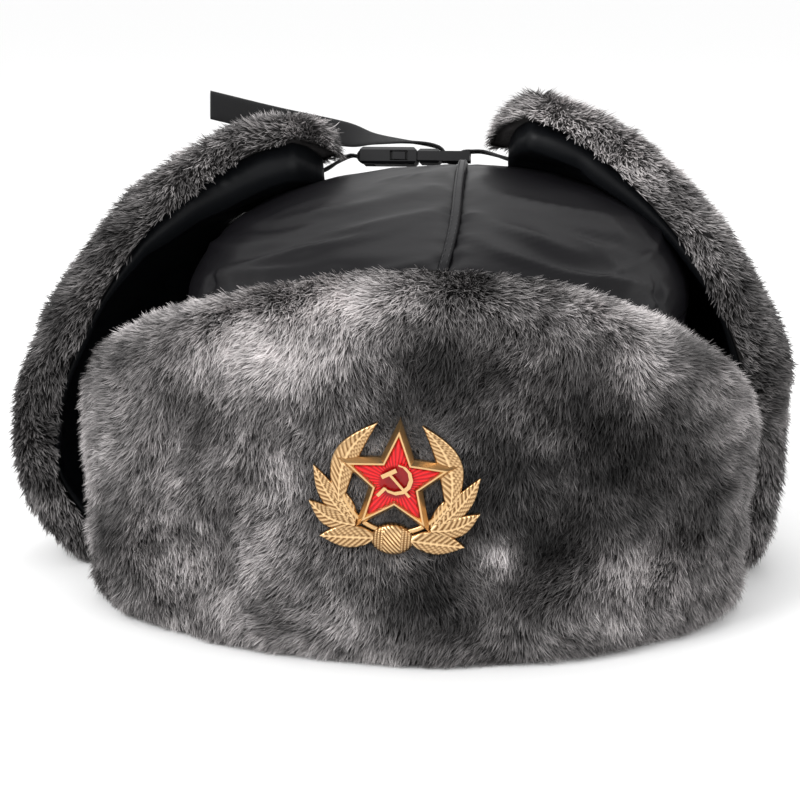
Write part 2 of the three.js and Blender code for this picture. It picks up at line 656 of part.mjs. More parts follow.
// A block with its edges chamfered, its middle at x, 0, 0.
function blockSolid(length, width, thickness, chamfer, x) {
  const cut = 2 * chamfer;
  return wasm.Manifold.hull([
    boxSolid(length, width, thickness - cut, x, 0, 0),
    boxSolid(length - cut, width - cut, thickness, x, 0, 0),
  ]);
}

const barSolid = (x) => toSolid(
  new THREE.CylinderGeometry(BUCKLE_BAR / 2, BUCKLE_BAR / 2, BUCKLE_WIDTH - 2 * BUCKLE_WALL, 12),
  moved(x, 0, 0),
);

function makeSocket() {
  const slotWidth = WEBBING_WIDTH + 1;
  const room = { wide: BUCKLE_WIDTH - 2 * BUCKLE_WALL, high: SOCKET_THICKNESS - 2 * BUCKLE_WALL };
  const slotLength = SOCKET_LENGTH - SOCKET_CAVITY - 2 * BUCKLE_WALL + 1;
  const block = blockSolid(SOCKET_LENGTH, BUCKLE_WIDTH, SOCKET_THICKNESS, 1, -SOCKET_LENGTH / 2);
  const cavity = boxSolid(SOCKET_CAVITY + 1, room.wide, room.high, -SOCKET_CAVITY / 2 + 0.5, 0, 0);
  const windows = boxSolid(SOCKET_CAVITY / 2, BUCKLE_WIDTH + 2, room.high, -SOCKET_CAVITY / 2, 0, 0);
  const slot = boxSolid(slotLength, slotWidth, 9, -SOCKET_LENGTH + slotLength / 2 - 1, 0, 0);
  const bar = barSolid(-SOCKET_LENGTH + BUCKLE_BAR / 2);
  return toGeometry(block.subtract(cavity).subtract(windows).subtract(slot).add(bar));
}

function makePlug() {
  const blockEnd = GAP + PLUG_BLOCK;
  const step = ADJUSTER_SLOT + BUCKLE_BAR;
  const frameEnd = blockEnd + 2 * step;
  const inner = BUCKLE_WIDTH / 2 - BUCKLE_WALL - GAP;
  const parts = [blockSolid(PLUG_BLOCK, BUCKLE_WIDTH - 1, PLUG_THICKNESS, 0.9, GAP + PLUG_BLOCK / 2)];
  parts.push(boxSolid(PLUG_PRONG, 2.4, 2.4, -PLUG_PRONG / 2 + 1, 0, 0));
  for (const side of [-1, 1]) {
    const cheek = (BUCKLE_WIDTH - WEBBING_WIDTH - 2) / 2;
    parts.push(boxSolid(PLUG_PRONG, 1.6, 2.6, -PLUG_PRONG / 2 + 1, side * (inner - 0.8), 0));
    parts.push(boxSolid(4.4, 2.2, 2.6, -SOCKET_CAVITY / 2, side * (inner + 0.5), 0));
    parts.push(boxSolid(frameEnd - blockEnd + 1, cheek, 3.4, (frameEnd + blockEnd - 1) / 2,
      side * (WEBBING_WIDTH + 1 + cheek) / 2, 0));
  }
  parts.push(barSolid(blockEnd + ADJUSTER_SLOT + BUCKLE_BAR / 2));
  parts.push(barSolid(frameEnd - BUCKLE_BAR / 2));
  return toGeometry(wasm.Manifold.union(parts));
}

function makeBuckle() {
  const buckle = new THREE.Group();
  buckle.applyMatrix4(buckleMatrix);
  hat.add(buckle);
  add('buckle_socket', makeSocket(), MATERIALS.plastic, buckle);
  add('buckle_plug', makePlug(), MATERIALS.plastic, buckle);
}

// Cockade
function starShape(radius) {
  const shape = new THREE.Shape();
  for (let k = 0; k < 10; k += 1) {
    const r = k % 2 ? radius * STAR_WAIST : radius;
    const turn = rad(90 + 36 * k);
    shape[k ? 'lineTo' : 'moveTo'](r * Math.cos(turn), r * Math.sin(turn));
  }
  return shape;
}

// The outline of a leaf: cross-sections along a bowed line from its base to its tip, hulled two by two.
function leafSolid(leaf, side) {
  const base = V(side * leaf.baseX, leaf.baseY, 0).multiplyScalar(BADGE_WIDTH);
  const tip = V(side * leaf.tipX, leaf.tipY, 0).multiplyScalar(BADGE_WIDTH);
  const along = tip.clone().sub(base).normalize();
  const across = V(-along.y, along.x, 0);
  const section = (t) => {
    const bow = side * leaf.bow * BADGE_WIDTH * Math.sin(Math.PI * t);
    const middle = base.clone().lerp(tip, t).addScaledVector(across, bow);
    const swell = Math.sin(Math.PI * Math.min(0.12 + 0.86 * t, 1));
    const half = Math.max(leaf.width * BADGE_WIDTH / 2 * swell, 0.25);
    const rise = BADGE_PLATE * leaf.rise;
    const edge = rise * 0.55;
    const corner = (s, z) => middle.clone().addScaledVector(across, s * half).setZ(z);
    return [corner(-1, 0), corner(-1, edge), corner(1, 0), corner(1, edge), middle.clone().setZ(rise + 0.5)];
  };
  const parts = [];
  for (let k = 0; k < LEAF_STEPS; k += 1) {
    const points = [...section(k / LEAF_STEPS), ...section((k + 1) / LEAF_STEPS)];
    parts.push(wasm.Manifold.hull(points.map((p) => p.toArray())));
  }
  return wasm.Manifold.union(parts);
}

function wreathRing() {
  const ring = new THREE.Shape();
  const [from, to] = [rad(90 + WREATH_OPEN), rad(450 - WREATH_OPEN)];
  ring.absarc(0, 0, WREATH_OUTER, from, to, false);
  ring.absarc(0, 0, WREATH_INNER, to, from, true);
  return extruded(ring, BADGE_PLATE);
}

// The oval that binds the stems, with a raised band at each side.
function bindingSolid() {
  const egg = (grow) => {
    const size = new THREE.Matrix4().makeScale(BINDING.x + grow, BINDING.y + grow, BINDING.rise + grow);
    return toSolid(new THREE.SphereGeometry(1, 16, 8), size.setPosition(0, -BINDING.drop, 0));
  };
  const upper = boxSolid(BADGE_WIDTH, BADGE_WIDTH, BINDING.band * 10, 0, -BINDING.drop, BINDING.band * 5);
  const bands = [-BINDING.pitch, BINDING.pitch].map((x) =>
    boxSolid(BINDING.band, BADGE_WIDTH, BINDING.band * 10, x, -BINDING.drop, BINDING.band * 5));
  return egg(0).intersect(upper).add(egg(BINDING.proud).intersect(wasm.Manifold.union(bands)));
}

function badgeBody() {
  const star = wasm.Manifold.extrude(extruded(starShape(STAR_RADIUS), 1).slice(0.5), STAR_RISE, 1, 0,
    [STAR_TAPER, STAR_TAPER]);
  const bed = extruded(starShape(STAR_RADIUS - ENAMEL_INSET), STAR_RISE, STAR_RISE - ENAMEL_THICKNESS - GAP);
  const leaves = [-1, 1].flatMap((side) => LEAVES.map((leaf) => leafSolid(leaf, side)));
  const post = toSolid(
    new THREE.CylinderGeometry(BADGE_POST_RADIUS, BADGE_POST_RADIUS, VISOR_PILE - 2, 16),
    new THREE.Matrix4().makeRotationX(Math.PI / 2).setPosition(0, 0, -VISOR_PILE / 2 + 1.2),
  );
  const joined = wasm.Manifold.union([wreathRing(), ...leaves, bindingSolid(), star, post]);
  return joined.subtract(bed).asOriginal().simplify(FINEST_EDGE);
}

function badgeEnamel() {
  const star = starShape(STAR_RADIUS - ENAMEL_INSET - 2 * GAP);
  return extruded(star, ENAMEL_THICKNESS, STAR_RISE - ENAMEL_THICKNESS);
}

// Hammer and sickle in low relief, one casting.
function emblemSolid() {
  const r = EMBLEM_RADIUS;
  const thick = EMBLEM_THICKNESS;
  const circle = (radius, x, y) => new THREE.Shape().absarc(x, y, radius, 0, 2 * Math.PI);
  const opening = boxSolid(1.2 * r, 1.9 * r, 3 * thick, -0.57 * r, 0.4 * r, thick);
  const hollow = extruded(circle(0.87 * r, -0.12 * r, 0.07 * r), 3 * thick);
  const blade = extruded(circle(r, 0, 0), thick).subtract(hollow).subtract(opening);
  const bar = (length, width, x, y, turn) =>
    boxSolid(length, width, thick, 0, 0, thick / 2).rotate([0, 0, turn]).translate([x * r, y * r, 0]);
  return wasm.Manifold.union([
    blade,
    bar(0.68 * r, 0.22 * r, -0.93, -0.87, 50),
    bar(1.98 * r, 0.16 * r, 0.16, -0.34, -46),
    bar(1.02 * r, 0.27 * r, -0.52, 0.36, 30),
  ]).translate([0.07 * r, 0.26 * r, 0]);
}

const badgeMatrix = new THREE.Matrix4()
  .makeTranslation(BADGE_PLACE.x, BADGE_PLACE.y, BADGE_PLACE.z)
  .multiply(new THREE.Matrix4().makeRotationX(rad(90 + BADGE_PLACE.lean)))
  .multiply(new THREE.Matrix4().makeRotationZ(rad(BADGE_PLACE.turn)));

function makeBadge() {
  const badge = new THREE.Group();
  badge.applyMatrix4(badgeMatrix);
  hat.add(badge);
  add('badge_body', toGeometry(badgeBody()), MATERIALS.gold, badge);
  add('badge_enamel', toGeometry(badgeEnamel()), MATERIALS.enamel, badge);
  const emblem = add('badge_emblem', toGeometry(emblemSolid()), MATERIALS.gold, badge);
  emblem.position.z = STAR_RISE + GAP;
}

// The room the cockade takes out of the visor's fur: a flat seat and a hole for its post.
function badgeRoom() {
  const upright = (z) => new THREE.Matrix4().makeRotationX(Math.PI / 2).setPosition(0, 0, z);
  const seat = new THREE.CylinderGeometry(BADGE_SEAT_RADIUS, BADGE_SEAT_RADIUS, 20, 32);
  const hole = new THREE.CylinderGeometry(BADGE_POST_RADIUS + GAP, BADGE_POST_RADIUS + GAP, 60, 16);
  const room = toSolid(seat, upright(10 - GAP)).add(toSolid(hole, upright(0)));
  return room.transform(badgeMatrix.toArray());
}

makeBand();
makeDome();
makeStraps();
makeBuckle();
makeBadge();
makeSeamTape();
makeVisor();
EARS.forEach(makeEar);
makeNeck();

// The hat's own frame: origin under the middle of its bounding box, on the floor.
const bounds = new THREE.Box3().setFromObject(hat);
const centre = bounds.getCenter(V());
hat.position.set(-centre.x, -centre.y, -bounds.min.z);
const part = new THREE.Group();
part.add(hat);

export default part;
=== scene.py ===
"""The looks of a winter fur hat: satin crown, fur visor with a cockade, fur flaps and a buckled strap."""
import math

import bpy
import numpy as np
from mathutils import Matrix, Vector


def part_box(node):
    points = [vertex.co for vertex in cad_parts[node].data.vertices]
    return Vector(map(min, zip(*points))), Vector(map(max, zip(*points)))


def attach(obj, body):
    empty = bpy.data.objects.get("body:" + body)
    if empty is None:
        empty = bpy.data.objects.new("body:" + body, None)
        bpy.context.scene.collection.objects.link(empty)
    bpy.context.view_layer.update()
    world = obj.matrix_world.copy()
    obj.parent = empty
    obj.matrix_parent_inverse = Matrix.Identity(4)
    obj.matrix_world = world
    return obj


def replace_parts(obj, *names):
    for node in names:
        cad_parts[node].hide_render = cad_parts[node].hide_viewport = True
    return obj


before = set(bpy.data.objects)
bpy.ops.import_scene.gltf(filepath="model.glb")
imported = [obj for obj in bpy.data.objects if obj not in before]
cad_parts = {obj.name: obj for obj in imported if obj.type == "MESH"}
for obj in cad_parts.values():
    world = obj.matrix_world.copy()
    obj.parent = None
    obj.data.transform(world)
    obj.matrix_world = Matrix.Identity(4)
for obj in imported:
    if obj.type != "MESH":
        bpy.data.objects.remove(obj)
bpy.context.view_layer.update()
MM = 0.001

# Camera, in millimetres and degrees; its picture is taken as 800 by 800 pixels
CAMERA = {"azimuth": 3.6, "elevation": 13.0, "distance": 700.0, "target": (-0.4, 2.1, 53.0), "lens": 90.45}

# Sizes of the hat, in millimetres, as its solids have them
HEAD_HALF_WIDTH, HEAD_HALF_LENGTH, CROWN_WALL = 80.0, 100.0, 5.0
CROWN_HEIGHT, SHOULDER_HEIGHT = 136.0, 90.0
LINING, GAP = 3.0, 0.3
VISOR_PILE, EAR_PILE, NECK_PILE, TIP_ROUND, FOOT_SHARE = 18.0, 16.0, 14.0, 9.0, 0.32
VISOR_HEIGHT, VISOR_HALF_ANGLE, VISOR_LEAN = 120.0, 68.0, 7.0
VISOR_FLARE_LEFT, VISOR_FLARE_RIGHT, VISOR_CORNER = 22.0, 9.0, 5.0
EAR_FRONT_ANGLE, EAR_BACK_ANGLE = 73.0, 128.0
FLAP_LENGTH, FLAP_SLIDE, FLAP_HUG, FLAP_DROOP = 200.0, 18.0, 3.0, 0.2
FOLD_ROOM, CHORD_ROOM, CLEAR_STEP = 1.8, 1.2, 0.002
NECK_RISE, NECK_EDGE, NECK_TIP, NECK_SEAM = 143.0, 0.5, 28.0, 1.2
EARS = {
    "left": {"side": -1.0, "spread": 131.0, "rise": 148.5, "tip": 31.0, "more": 4, "hang": 10.5},
    "right": {"side": 1.0, "spread": 101.0, "rise": 157.0, "tip": 13.0, "more": 5, "hang": 7.0},
}
RIM_A, RIM_B = HEAD_HALF_WIDTH + CROWN_WALL, HEAD_HALF_LENGTH + CROWN_WALL
FACE_A, FACE_B = RIM_A + GAP + LINING, RIM_B + GAP + LINING

# The crown's upright section: rise of the dome, reach of the rim
CROWN_LEVELS = np.array([
    (0.0, 1.0), (0.16, 0.985), (0.38, 0.91), (0.6, 0.79), (0.78, 0.61), (0.9, 0.4), (0.97, 0.2), (1.0, 0.0),
])
# The visor's upper edge: turn, left height, right height, share of the corner
VISOR_EDGE = np.array([
    (0.0, 1.0, 1.0, 0.0), (0.26, 0.97, 0.975, 0.15), (0.5, 0.91, 0.9, 0.7),
    (0.72, 0.83, 0.79, 1.0), (0.88, 0.73, 0.67, 0.6), (1.0, 0.58, 0.52, 0.0),
])
# A flap from rim to tip: path, rise, bulge, curl, and what left and right add to the curl
FLAP_PATH = np.array([
    (0.0, 0.0, 0.0, 0.0, 0.0, 0.0), (0.11, 0.09, 0.66, 0.0, 0.0, 0.0), (0.22, 0.22, 0.93, 0.0, 0.0, 0.005),
    (0.32, 0.35, 1.0, 0.0, 0.035, 0.01), (0.4, 0.46, 1.0, 0.03, 0.05, -0.025), (0.55, 0.66, 1.0, 0.16, 0.07, 0.0),
    (0.69, 0.815, 1.0, 0.34, 0.07, 0.04), (0.84, 0.94, 1.0, 0.62, 0.045, 0.02),
    (0.94, 0.985, 1.0, 0.84, 0.02, 0.0), (1.0, 1.0, 1.0, 1.0, 0.0, 0.0),
])
# The ear flap's free edge: turn, share of the path
FLAP_EDGE = np.array([
    (0.0, 0.93), (0.12, 0.985), (0.3, 1.0), (0.5, 0.93), (0.72, 0.72), (0.88, 0.56), (1.0, NECK_EDGE),
])

# Soft folds of the crown: angle, level, spread, band, height, slope
CROWN_FOLDS = [
    (-38, 0.34, 30, 0.08, 1.6, 0), (-30, 0.55, 34, 0.07, 1.3, 0), (-62, 0.7, 26, 0.08, -1.5, 0),
    (34, 0.32, 26, 0.08, 1.5, 0), (48, 0.52, 30, 0.07, -1.4, 0), (22, 0.68, 22, 0.07, 1.3, 0),
    (150, 0.4, 34, 0.1, -1.6, 0), (-140, 0.55, 34, 0.1, 1.4, 0),
]
# Finer folds of the nylon itself, as above
NYLON_FOLDS = [
    (-22, 0.72, 16, 0.03, 1.5, 0.006), (-34, 0.55, 22, 0.03, 1.5, 0.009), (-20, 0.42, 18, 0.028, 1.3, 0.008),
    (-48, 0.36, 20, 0.03, 1.4, 0.006), (-60, 0.62, 22, 0.035, -1.2, 0.006), (-12, 0.3, 12, 0.03, 1.0, 0.012),
    (-40, 0.78, 20, 0.03, 1.1, 0.005), (-70, 0.45, 24, 0.03, 1.2, 0.004), (16, 0.32, 14, 0.03, 1.4, -0.01),
    (26, 0.5, 20, 0.03, 1.5, -0.008), (44, 0.34, 20, 0.03, 1.4, -0.006), (20, 0.68, 16, 0.03, 1.3, -0.007),
    (46, 0.62, 22, 0.03, -1.2, -0.006), (64, 0.5, 22, 0.03, 1.3, 0.005), (34, 0.82, 22, 0.03, 1.0, -0.004),
    (110, 0.35, 30, 0.04, 1.2, 0.004), (150, 0.6, 30, 0.04, 1.1, -0.004), (-120, 0.35, 30, 0.04, 1.2, 0.004),
    (-155, 0.7, 30, 0.04, 1.1, -0.004),
]
STRAP_DENT, DENT_WIDE, DENT_LONG = 5.5, 36.0, 21.0
# How far the top of the seam lies to the right of the front
SEAM_SWAY, SWAY_REACH = 8.0, 62.0
PUCKER_HEIGHT, PUCKER_REACH, PUCKER_PITCH, SEAM_PULL = 0.5, 6.0, 6.5, 1.0
SIDE_SEAMS, SIDE_SEAM_LEVEL, WRINKLE_HEIGHT, LINING_CREASE = (58, -60, 122, -122), 0.4, 0.9, 1.4
TAPE_WIDTH, TAPE_THICKNESS = 3.2, 0.8
STITCH_PITCH, STITCH_LENGTH, THREAD_RADIUS = 2.8, 2.1, 0.2
FLOOR_GAP = 0.15

# Webbing and buckle
WEBBING_WIDTH, WEBBING_THICKNESS = 10.0, 1.2
SOCKET_LENGTH, BUCKLE_BAR = 20.0, 2.2
BUCKLE_PLACE = {"x": -9.0, "y": 32.0, "z": CROWN_HEIGHT - 2, "tilt": -10.0}
# Where the straps lie under the flaps: turn, share
STRAP_LEFT = [(0.32, 0.97), (0.31, 0.94), (0.3, 0.91)]
STRAP_RIGHT = [(0.3, 0.91), (0.31, 0.94), (0.32, 0.97)]
# The webbing's way round the adjuster's bars: x, z in the buckle's frame
ADJUSTER_PATH = [
    (24, 1.8), (19, 2.0), (17.3, 2.0), (15.5, 1.5), (14.9, 0), (14.2, -1.5),
    (12.4, -2.05), (10.6, -1.5), (9.9, 0), (9.3, 1.8), (7.6, 3.4), (3.0, 4.6),
]
# The loose tail: x, y, lift above the crown's height, turn of its width
TAIL_PATH = [(-14, 32, 3.5, -2), (-25, 33.5, 4.2, 18), (-36, 37, 5.6, 56), (-58, 36, 9.8, 76), (-82, 27, 16.4, 82)]

# Cockade
BADGE_WIDTH, BADGE_PLATE = 50.0, 1.4
# Painted shade for the hollows and painted highlight for the ridges of struck gilt pieces
GOLD_SHADED_HOLLOW, GOLD_LIT_RIDGE = (0.16, 0.075, 0.025), (0.78, 0.53, 0.28)
BADGE_PLACE = {"x": -6.3, "y": -127.4, "z": 59.0, "lean": 3.5, "turn": -4.0}
BADGE_SEAT = {"half_width": 25.0, "half_height": 20.5, "drop": 2.2, "soft": 0.3, "rise": 6.0}
STAR_RADIUS, STAR_WAIST, STAR_RISE, ENAMEL_INSET = 17.3, 0.44, 3.2, 1.6
# The star's rim from its foot over the bevel to the enamel's bed: inset, height
STAR_SECTION = [(-0.5, 0), (-0.45, 1.4), (0.7, 3.4), (0.85, 3.5), (1.2, 3.45), (1.6, 2.7), (2.3, 2.0)]
RAYS, FIELD_RADIUS, ENAMEL_RED = 44, 4.6, (0.62, 0.0, 0.004)
WREATH_INNER, WREATH_OUTER, WREATH_OPEN = 15.2, 16.8, 42.0
BINDING = {"x": 6.4, "y": 4.8, "rise": 2.6, "drop": 18.0, "field": 2.5, "cord": 0.95}
VEIN_PITCH, VEIN_HEIGHT = 1.75, 0.3
# Leaves on the left half, as shares of the width: base x, y, tip x, y, width, bow, rise
LEAVES = [
    (-0.322, -0.157, -0.13, 0.336, 0.145, 0.075, 1.0), (-0.264, -0.26, -0.478, 0.051, 0.11, 0.018, 0.9),
    (-0.22, -0.27, -0.38, -0.04, 0.1, 0.0, 0.8), (-0.218, -0.286, -0.492, -0.162, 0.12, 0.035, 1.1),
    (-0.107, -0.356, -0.418, -0.369, 0.145, 0.0, 1.2),
]

# Pile: strand sizes in millimetres, values of its colours, and how it lies
PILE = {
    "length": 5.9, "depth": 3.6, "lock": 2.4, "width": 0.32, "lift": 1.25, "full": 9.0, "under": 3.4,
    "tip": 0.34, "middle": 0.072, "root": 0.01, "wool": 0.024,
}
# The flaps have fewer strands for their size, so these are wider and stand straighter
FLAP_PILE = dict(PILE, width=0.42, lift=1.3, length=5.4, tip=0.27, middle=0.06, wool=0.022)
FUR_TINT = (1.0, 0.945, 0.94)
# Soft patches of the visor's pile as seen from the front, whose light column paints light and shade into the pile
# along with some uneven tone of its own: right, up, reach across, reach up, light, dent
VISOR_TONE_AND_LIGHT_PATCHES = [
    (50, -28, 52, 45, -1.6, 0), (-57, 24, 26, 16, 1.2, 0), (-17, 38, 21, 8, 2.2, 0), (-35, 17, 19, 12, 1.0, 0),
    (73, 33, 19, 6, 1.3, 0), (81, 14, 9, 10, 1.8, 0), (14, 14, 16, 14, -2.0, 0), (66, 2, 10, 9, -0.8, 0),
    (42, 0, 10, 8, 0.8, 0), (56, -14, 9, 8, 0.7, 0), (87, -17, 21, 17, -1.3, 0), (-73, -5, 6, 14, -1.1, 0),
    (-61, -42, 6, 10, -0.7, 0), (-102, -45, 5, 16, -1.2, 0), (-82, -56, 10, 9, 0.7, 0), (-73, -28, 7, 9, 0.5, 0),
    (-44, -28, 9, 12, 0.7, 0), (-45, -54, 9, 8, 0.5, 0), (-61, -70, 9, 8, 0.5, 0), (-38, -70, 12, 6, -0.5, 0),
    (-19, -78, 9, 6, 0.7, 0), (7, -66, 16, 10, -1.7, 0), (35, -52, 10, 6, 2.1, 0), (56, -49, 12, 10, -1.9, 0),
    (84, -59, 14, 10, 1.9, 0), (70, -74, 16, 6, 0.8, 0), (108, -31, 8, 19, -0.6, 0), (117, -14, 5, 21, 0.5, 0),
    (17, -77, 17, 6, -0.9, 0), (-101, 17, 7, 10, -0.9, 0), (-84, 21, 10, 7, -0.8, 0), (35, -24, 10, 10, -0.6, 0),
    (101, 17, 10, 8, -0.9, 0), (-7, 0, 9, 6, -0.7, 0), (42, -66, 10, 7, -0.6, 0), (104, -63, 8, 10, 0.6, 0),
    (-75, 33, 4, 6, -0.5, 1.6), (-66, 22, 4, 7, -0.7, 1.9), (-63, 8, 4, 9, -0.6, 1.9), (-68, -8, 4, 9, -0.5, 1.6),
    (-73, -22, 4, 8, -0.5, 1.3),
]
# The same for the flaps, with the same painted light and shade
FLAP_TONE_AND_LIGHT_PATCHES = [
    (-122, 0, 12, 31, -1.0, 0), (-115, -35, 9, 17, -0.3, 0), (-101, 63, 16, 16, -0.5, 0), (-73, 85, 21, 10, 0.3, 0),
    (-35, 98, 16, 8, 0.9, 0), (56, 101, 21, 8, 1.5, 0), (84, 84, 17, 12, 1.4, 0), (104, 63, 14, 12, 0.6, 0),
    (120, 38, 9, 10, -0.4, 0), (129, 7, 8, 21, -0.9, 0), (126, -24, 6, 14, -0.4, 0), (-118, 35, 9, 10, -0.5, 0),
]

# Light: name, place in metres, size, power
WORLD_STRENGTH = 1.08
LAMPS = [
    ("key", (-0.75, -0.85, 1.05), 0.6, 13.0), ("fill", (0.95, -0.8, 0.6), 0.7, 3.0), ("top", (0.1, 0.35, 1.25), 0.9, 4.0),
]

low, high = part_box("crown_band")
SHIFT = np.array([(low[0] + high[0]) / 2, (low[1] + high[1]) / 2, 0.0]) / MM


# Numeric helpers on arrays
def mix(a, b, t):
    return a + (b - a) * t


def smooth(t):
    t = np.clip(t, 0.0, 1.0)
    return t * t * (3 - 2 * t)


def column(rows, name, at):
    """A smooth curve through one column of a table against its first one."""
    keys, values = rows[:, 0], rows[:, name]
    last = len(keys) - 1
    x = np.clip(at, keys[0], keys[-1])
    i = np.clip(np.searchsorted(keys, x, side="left") - 1, 0, last - 1)
    index = np.arange(len(keys))
    before, after = np.maximum(index - 1, 0), np.minimum(index + 1, last)
    slope = (values[after] - values[before]) / (keys[after] - keys[before])
    h = keys[i + 1] - keys[i]
    t = (x - keys[i]) / h
    t2, t3 = t * t, t * t * t
    return (
        (2 * t3 - 3 * t2 + 1) * values[i]
        + (t3 - 2 * t2 + t) * h * slope[i]
        + (3 * t2 - 2 * t3) * values[i + 1]
        + (t3 - t2) * h * slope[i + 1]
    )


def unit(v):
    return v / np.maximum(np.linalg.norm(v, axis=-1, keepdims=True), 1e-9)


def oval(a, b, angle, z):
    turn = np.radians(angle)
    return np.stack(np.broadcast_arrays(a * np.sin(turn), -b * np.cos(turn), z), -1)


def hashed(cells, seed):
    """A number from 0 to 1 for each whole-numbered cell."""
    n = np.full(cells.shape[:-1], seed * 374761393 & 0xFFFFFFFF, np.uint64)
    for axis, prime in zip(range(cells.shape[-1]), (668265263, 2246822519, 3266489917)):
        n = (n ^ (cells[..., axis].astype(np.int64).astype(np.uint64) * np.uint64(prime))) & np.uint64(0xFFFFFFFF)
        n = (n * np.uint64(1274126177)) & np.uint64(0xFFFFFFFF)
        n ^= n >> np.uint64(15)
    return n.astype(float) / 0xFFFFFFFF


def noise(points, size, seed):
    """Smooth noise from -1 to 1 at the points, with features of the given size."""
    p = np.asarray(points) / size
    base = np.floor(p)
    part = smooth(p - base)
    total = np.zeros(p.shape[:-1])
    for corner in np.ndindex(*(2,) * p.shape[-1]):
        weight = np.ones(p.shape[:-1])
        for axis, step in enumerate(corner):
            weight = weight * (part[..., axis] if step else 1 - part[..., axis])
        total += weight * hashed(base + np.array(corner), seed)
    return total * 2 - 1


# Surfaces of the hat, in millimetres in its own frame
def placed(points):
    return points + SHIFT


def visor_edge(turn):
    side = np.where(turn < 0, column(VISOR_EDGE, 1, np.abs(turn)), column(VISOR_EDGE, 2, np.abs(turn)))
    return VISOR_HEIGHT * side


def visor_point(turn, rise):
    z = rise * visor_edge(turn)
    flare = np.where(turn < 0, VISOR_FLARE_LEFT, VISOR_FLARE_RIGHT) * np.abs(turn) ** 3
    corner = VISOR_CORNER * column(VISOR_EDGE, 3, np.abs(turn))
    out = VISOR_LEAN * np.maximum(z / VISOR_HEIGHT, 0) ** 1.5 + flare + corner
    return oval(FACE_A + out, FACE_B + out, turn * VISOR_HALF_ANGLE, z)


def clear_of_crown(points):
    middle = np.array([0.0, 0.0, SHOULDER_HEIGHT - 20])
    ray = points - middle
    room = LINING + GAP + CHORD_ROOM * np.clip(points[..., 2] / CHORD_ROOM / 10, 0, 1)
    top = CROWN_HEIGHT + room + FOLD_ROOM
    share = np.ones(points.shape[:-1])
    for _ in range(200):
        p = middle + ray * share[..., None]
        rise = (p[..., 2] - SHOULDER_HEIGHT) / (top - SHOULDER_HEIGHT)
        reach = np.where(rise > 0, column(CROWN_LEVELS, 1, np.clip(rise, 0, 1)), 1.0)
        inside = (rise < 1) & (np.hypot(p[..., 0] / (RIM_A + room), p[..., 1] / (RIM_B + room)) < reach - 1e-6)
        if not inside.any():
            break
        share = share + CLEAR_STEP * inside
    return middle + ray * share[..., None]


def flap_point(ear, turn, share):
    path = share * column(FLAP_EDGE, 1, turn)
    rise, bulge, curl = (column(FLAP_PATH, k, path) for k in (1, 2, 3))
    curl = curl + column(FLAP_PATH, ear["more"], path) * (1 - smooth(turn))
    angle = mix(EAR_FRONT_ANGLE, EAR_BACK_ANGLE, turn)
    lead = math.sin(math.radians(EAR_FRONT_ANGLE))
    front = mix(mix(FACE_A, ear["spread"] / lead, bulge), ear["tip"] / lead, curl)
    back = mix(FACE_A + FLAP_HUG * bulge, NECK_TIP, curl)
    reach = mix(front, back, smooth(turn))
    length = (FACE_B + FLAP_HUG * bulge) * mix(1, 0.75, curl)
    height = mix(ear["rise"], NECK_RISE, turn) * rise * (1 - FLAP_DROOP * turn * curl * 2)
    point = oval(reach, length, angle, height)
    point[..., 0] *= ear["side"]
    point[..., 1] += FLAP_SLIDE * curl
    return clear_of_crown(point)


def neck_point(turn, share):
    seam = math.degrees(NECK_SEAM / FACE_B)
    angle = mix(EAR_BACK_ANGLE + seam, 360 - EAR_BACK_ANGLE - seam, turn)
    path = share * NECK_EDGE
    rise, bulge, curl = (column(FLAP_PATH, k, path) for k in (1, 2, 3))
    out = FLAP_HUG * bulge
    z = NECK_RISE * rise * (1 - FLAP_DROOP * curl * 2)
    point = oval(mix(FACE_A + out, NECK_TIP, curl), (FACE_B + out) * mix(1, 0.75, curl), angle, z)
    point[..., 1] += FLAP_SLIDE * curl
    return clear_of_crown(point)


def quarter(distance, pile):
    """Pile height over a free edge: a quarter round within its own height."""
    return np.sqrt(np.maximum(0, 1 - (1 - np.clip(distance / pile, 0, 1)) ** 2))


def visor_pile(turn, rise):
    arc = math.radians(VISOR_HALF_ANGLE) * (FACE_A + FACE_B) / 2
    edge = visor_edge(turn)
    return (
        VISOR_PILE
        * quarter((1 - np.abs(turn)) * arc, VISOR_PILE)
        * quarter((1 - rise) * edge, VISOR_PILE)
        * quarter(rise * edge + VISOR_PILE * FOOT_SHARE, VISOR_PILE)
    )


def flap_pile(turn, share):
    width = math.radians(EAR_BACK_ANGLE - EAR_FRONT_ANGLE) * FACE_B
    length = FLAP_LENGTH * column(FLAP_EDGE, 1, turn)
    return (
        mix(EAR_PILE, NECK_PILE, turn)
        * quarter(turn * width, EAR_PILE)
        * quarter((1 - share) * length, TIP_ROUND)
        * quarter(share * length + EAR_PILE * FOOT_SHARE, EAR_PILE)
    )


def neck_pile(turn, share):
    length = FLAP_LENGTH * NECK_EDGE
    return (
        NECK_PILE
        * quarter((1 - share) * length, NECK_PILE)
        * quarter(share * length + NECK_PILE * FOOT_SHARE, NECK_PILE)
    )


def grid_normals(points, wrap=False):
    """Outward unit normals of a grid of points whose rows run along u and columns along v."""
    along_u = np.gradient(points, axis=0)
    along_v = np.gradient(points, axis=1)
    if wrap:
        along_u[0] = along_u[-1] = points[1] - points[-2]
    return unit(np.cross(along_u, along_v))


def softened(grid, times):
    """A grid of points averaged with its neighbours."""
    for _ in range(times):
        wide = np.pad(grid, ((1, 1), (1, 1), (0, 0)), mode="edge")
        grid = (wide[:-2, 1:-1] + wide[2:, 1:-1] + wide[1:-1, :-2] + wide[1:-1, 2:] + 2 * grid) / 6
    return grid


